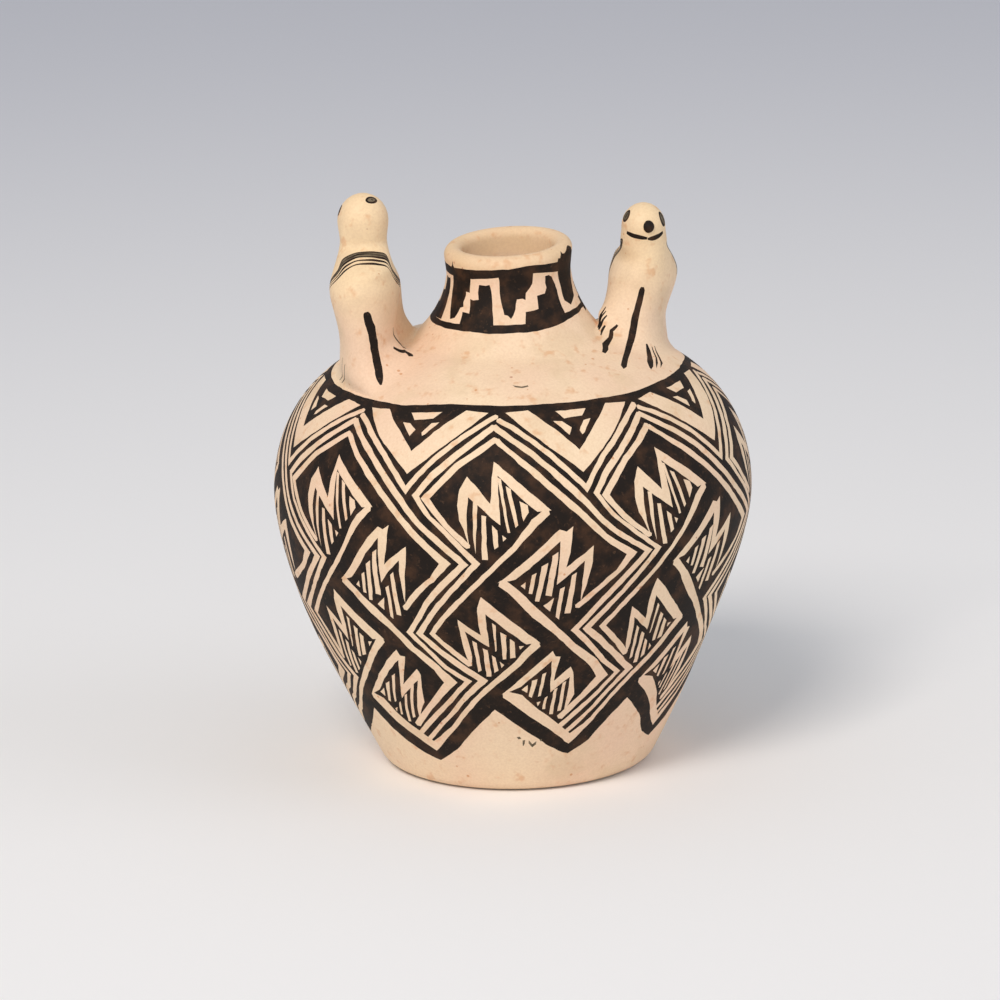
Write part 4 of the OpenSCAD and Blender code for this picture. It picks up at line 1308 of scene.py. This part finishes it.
# brown, where the brush ran dry
dry = add(tree, "ShaderNodeTexNoise", {"Vector": where},
          inputs={"Scale": per_mm(2.2), "Detail": 3.0, "Roughness": 0.6})
dry_share = add(tree, "ShaderNodeMapRange", {"Value": dry.outputs["Fac"]}, **RAMP,
                inputs={"From Min": 0.42, "From Max": 0.74})
browned = add(tree, "ShaderNodeMix", {0: dry_share.outputs[0]}, data_type="RGBA",
              inputs={MIX_A: colour_of("#1C130D"), MIX_B: colour_of("#432C1C")})
# streaks of the brush, and worn dots where the slip's grain stands up
streaks = add(tree, "ShaderNodeTexNoise", {"Vector": where},
              inputs={"Scale": per_mm(0.45), "Detail": 3.0, "Roughness": 0.65})
streak_share = add(tree, "ShaderNodeMapRange", {"Value": streaks.outputs["Fac"]}, **RAMP,
                   inputs={"From Min": 0.58, "From Max": 0.78, "To Max": 0.6})
streaked = add(tree, "ShaderNodeMix", {0: streak_share.outputs[0], MIX_A: browned.outputs[MIXED]},
               data_type="RGBA", inputs={MIX_B: colour_of("#634733")})
swells = add(tree, "ShaderNodeBump", {"Height": dry.outputs["Fac"]},
             inputs={"Strength": 1.0, "Distance": 0.03 * MM})
grit = add(tree, "ShaderNodeBump", {"Height": streaks.outputs["Fac"], "Normal": swells.outputs[0]},
           inputs={"Strength": 1.0, "Distance": 0.012 * MM})
paint_shader = add(tree, "ShaderNodeBsdfPrincipled",
                   {"Base Color": streaked.outputs[MIXED], "Normal": grit.outputs[0]},
                   inputs={"Roughness": 0.7, "IOR": 1.5, "Specular IOR Level": 0.22})
add(tree, "ShaderNodeOutputMaterial", {"Surface": paint_shader.outputs[0]})
print(mineral_paint.name, "has", len(tree.nodes), "nodes")

# %% Thinned paint
thinned_paint = bpy.data.materials.new("thinned_mineral_paint")
thinned_paint.use_nodes = True
tree = thinned_paint.node_tree
tree.nodes.clear()
where = add(tree, "ShaderNodeTexCoord").outputs["Object"]
# a wash pools darker and dries paler within half a millimetre
pools = add(tree, "ShaderNodeTexNoise", {"Vector": where}, inputs={"Scale": per_mm(0.6), "Detail": 3.0})
pool_share = add(tree, "ShaderNodeMapRange", {"Value": pools.outputs["Fac"]}, **RAMP,
                 inputs={"From Min": 0.35, "From Max": 0.7})
washed = add(tree, "ShaderNodeMix", {0: pool_share.outputs[0]}, data_type="RGBA",
             inputs={MIX_A: colour_of("#7A6C56"), MIX_B: colour_of("#4F4434")})
wash_shader = add(tree, "ShaderNodeBsdfPrincipled", {"Base Color": washed.outputs[MIXED]},
                  inputs={"Roughness": 0.68, "IOR": 1.5, "Specular IOR Level": 0.3})
add(tree, "ShaderNodeOutputMaterial", {"Surface": wash_shader.outputs[0]})
print(thinned_paint.name, "has", len(tree.nodes), "nodes")

# %% [markdown]
# Inside, the clay was left without slip, as no hand or stone gets through the mouth. It is a little
# rougher and darker, and keeps the marks of the tool that smoothed it.

# %% Bare clay inside
clay_inside.use_nodes = True
tree = clay_inside.node_tree
tree.nodes.clear()
where = add(tree, "ShaderNodeTexCoord").outputs["Object"]
clouds = add(tree, "ShaderNodeTexNoise", {"Vector": where}, inputs={"Scale": per_mm(4.0), "Detail": 3.0})
cloud_share = add(tree, "ShaderNodeMapRange", {"Value": clouds.outputs["Fac"]}, **RAMP,
                  inputs={"From Min": 0.35, "From Max": 0.7})
clouded = add(tree, "ShaderNodeMix", {0: cloud_share.outputs[0]}, data_type="RGBA",
              inputs={MIX_A: colour_of("#EFD0AE"), MIX_B: colour_of("#DDB995")})
grains = add(tree, "ShaderNodeTexNoise", {"Vector": where}, inputs={"Scale": per_mm(0.5), "Detail": 3.0})
grains_share = add(tree, "ShaderNodeMapRange", {"Value": grains.outputs["Fac"]}, **RAMP,
                   inputs={"From Min": 0.5, "From Max": 0.8, "To Max": 0.4})
speckled = add(tree, "ShaderNodeMix", {0: grains_share.outputs[0], MIX_A: clouded.outputs[MIXED]},
               data_type="RGBA", inputs={MIX_B: colour_of("#A87D58")})
tooled = add(tree, "ShaderNodeBump", {"Height": grains.outputs["Fac"]},
             inputs={"Strength": 1.0, "Distance": 0.05 * MM})
clay_shader = add(tree, "ShaderNodeBsdfPrincipled",
                  {"Base Color": speckled.outputs[MIXED], "Normal": tooled.outputs[0]},
                  inputs={"Roughness": 0.85, "IOR": 1.5})
add(tree, "ShaderNodeOutputMaterial", {"Surface": clay_shader.outputs[0]})
for material in (slip, mineral_paint, clay_inside, thinned_paint):
    jar_mesh.materials.append(material)
print(clay_inside.name, "has", len(tree.nodes), "nodes")

# %% [markdown]
# The stage is a sheet of pale paper. Its colour is painted near white round the jar and a soft blue grey
# further off, a painted fall of light away from the jar. A large soft lamp stands high at the left and in
# front, a weak one fills from the right, and the world gives an even pale light, so the shadow falls softly
# to the right.

# %% Floor and light
floor_mesh = bpy.data.meshes.new("paper_floor")
reach = 3.0
floor_mesh.from_pydata([(-reach, -reach, 0), (reach, -reach, 0), (reach, reach, 0), (-reach, reach, 0)], [],
                       [(0, 1, 2, 3)])
floor = bpy.data.objects.new("paper_floor", floor_mesh)
bpy.context.scene.collection.objects.link(floor)
paper = bpy.data.materials.new("matte_white_paper")
paper.use_nodes = True
tree = paper.node_tree
tree.nodes.clear()
where = add(tree, "ShaderNodeTexCoord").outputs["Object"]
# painted light: near white round the jar, turning blue grey with distance, as if the light fell off
away = add(tree, "ShaderNodeVectorMath", {0: where}, operation="LENGTH")
light_falloff_share = add(tree, "ShaderNodeMapRange", {"Value": away.outputs["Value"]}, **RAMP,
                inputs={"From Min": 20 * MM, "From Max": 480 * MM})
painted_falloff_colour = add(tree, "ShaderNodeMix", {0: light_falloff_share.outputs[0]}, data_type="RGBA",
            inputs={MIX_A: colour_of("#F4F3F3"), MIX_B: colour_of("#CFD0D8")})
paper_shader = add(tree, "ShaderNodeBsdfPrincipled", {"Base Color": painted_falloff_colour.outputs[MIXED]},
                   inputs={"Roughness": 0.9, "IOR": 1.5})
add(tree, "ShaderNodeOutputMaterial", {"Surface": paper_shader.outputs[0]})
floor_mesh.materials.append(paper)


def lamp(name, at, size, power, tint):
    """A square soft lamp that looks at the middle of the jar."""
    light = bpy.data.lights.new(name, "AREA")
    light.shape, light.size, light.energy, light.color = "SQUARE", size, power, colour_of(tint)[:3]
    stand = bpy.data.objects.new(name, light)
    towards = Vector(at) - Vector((0, 0, 0.026))
    stand.matrix_world = Matrix.Translation(at) @ towards.to_track_quat("Z", "Y").to_matrix().to_4x4()
    bpy.context.scene.collection.objects.link(stand)


lamp("soft_lamp_left", (-0.45, -0.55, 0.75), 0.35, 5.8, "#FFF8F0")
lamp("weak_lamp_right", (0.8, -0.5, 0.5), 0.7, 1.6, "#F4F7FF")
world = bpy.data.worlds.new("even_pale_light")
world.use_nodes = True
world.node_tree.nodes["Background"].inputs["Color"].default_value = colour_of("#EEF1F6")
world.node_tree.nodes["Background"].inputs["Strength"].default_value = 0.55
bpy.context.scene.world = world
bpy.context.scene.view_settings.view_transform = "Standard"
print("stage set")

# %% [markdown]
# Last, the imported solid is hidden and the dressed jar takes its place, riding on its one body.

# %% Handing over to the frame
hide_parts("jar")
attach(jar, "root")
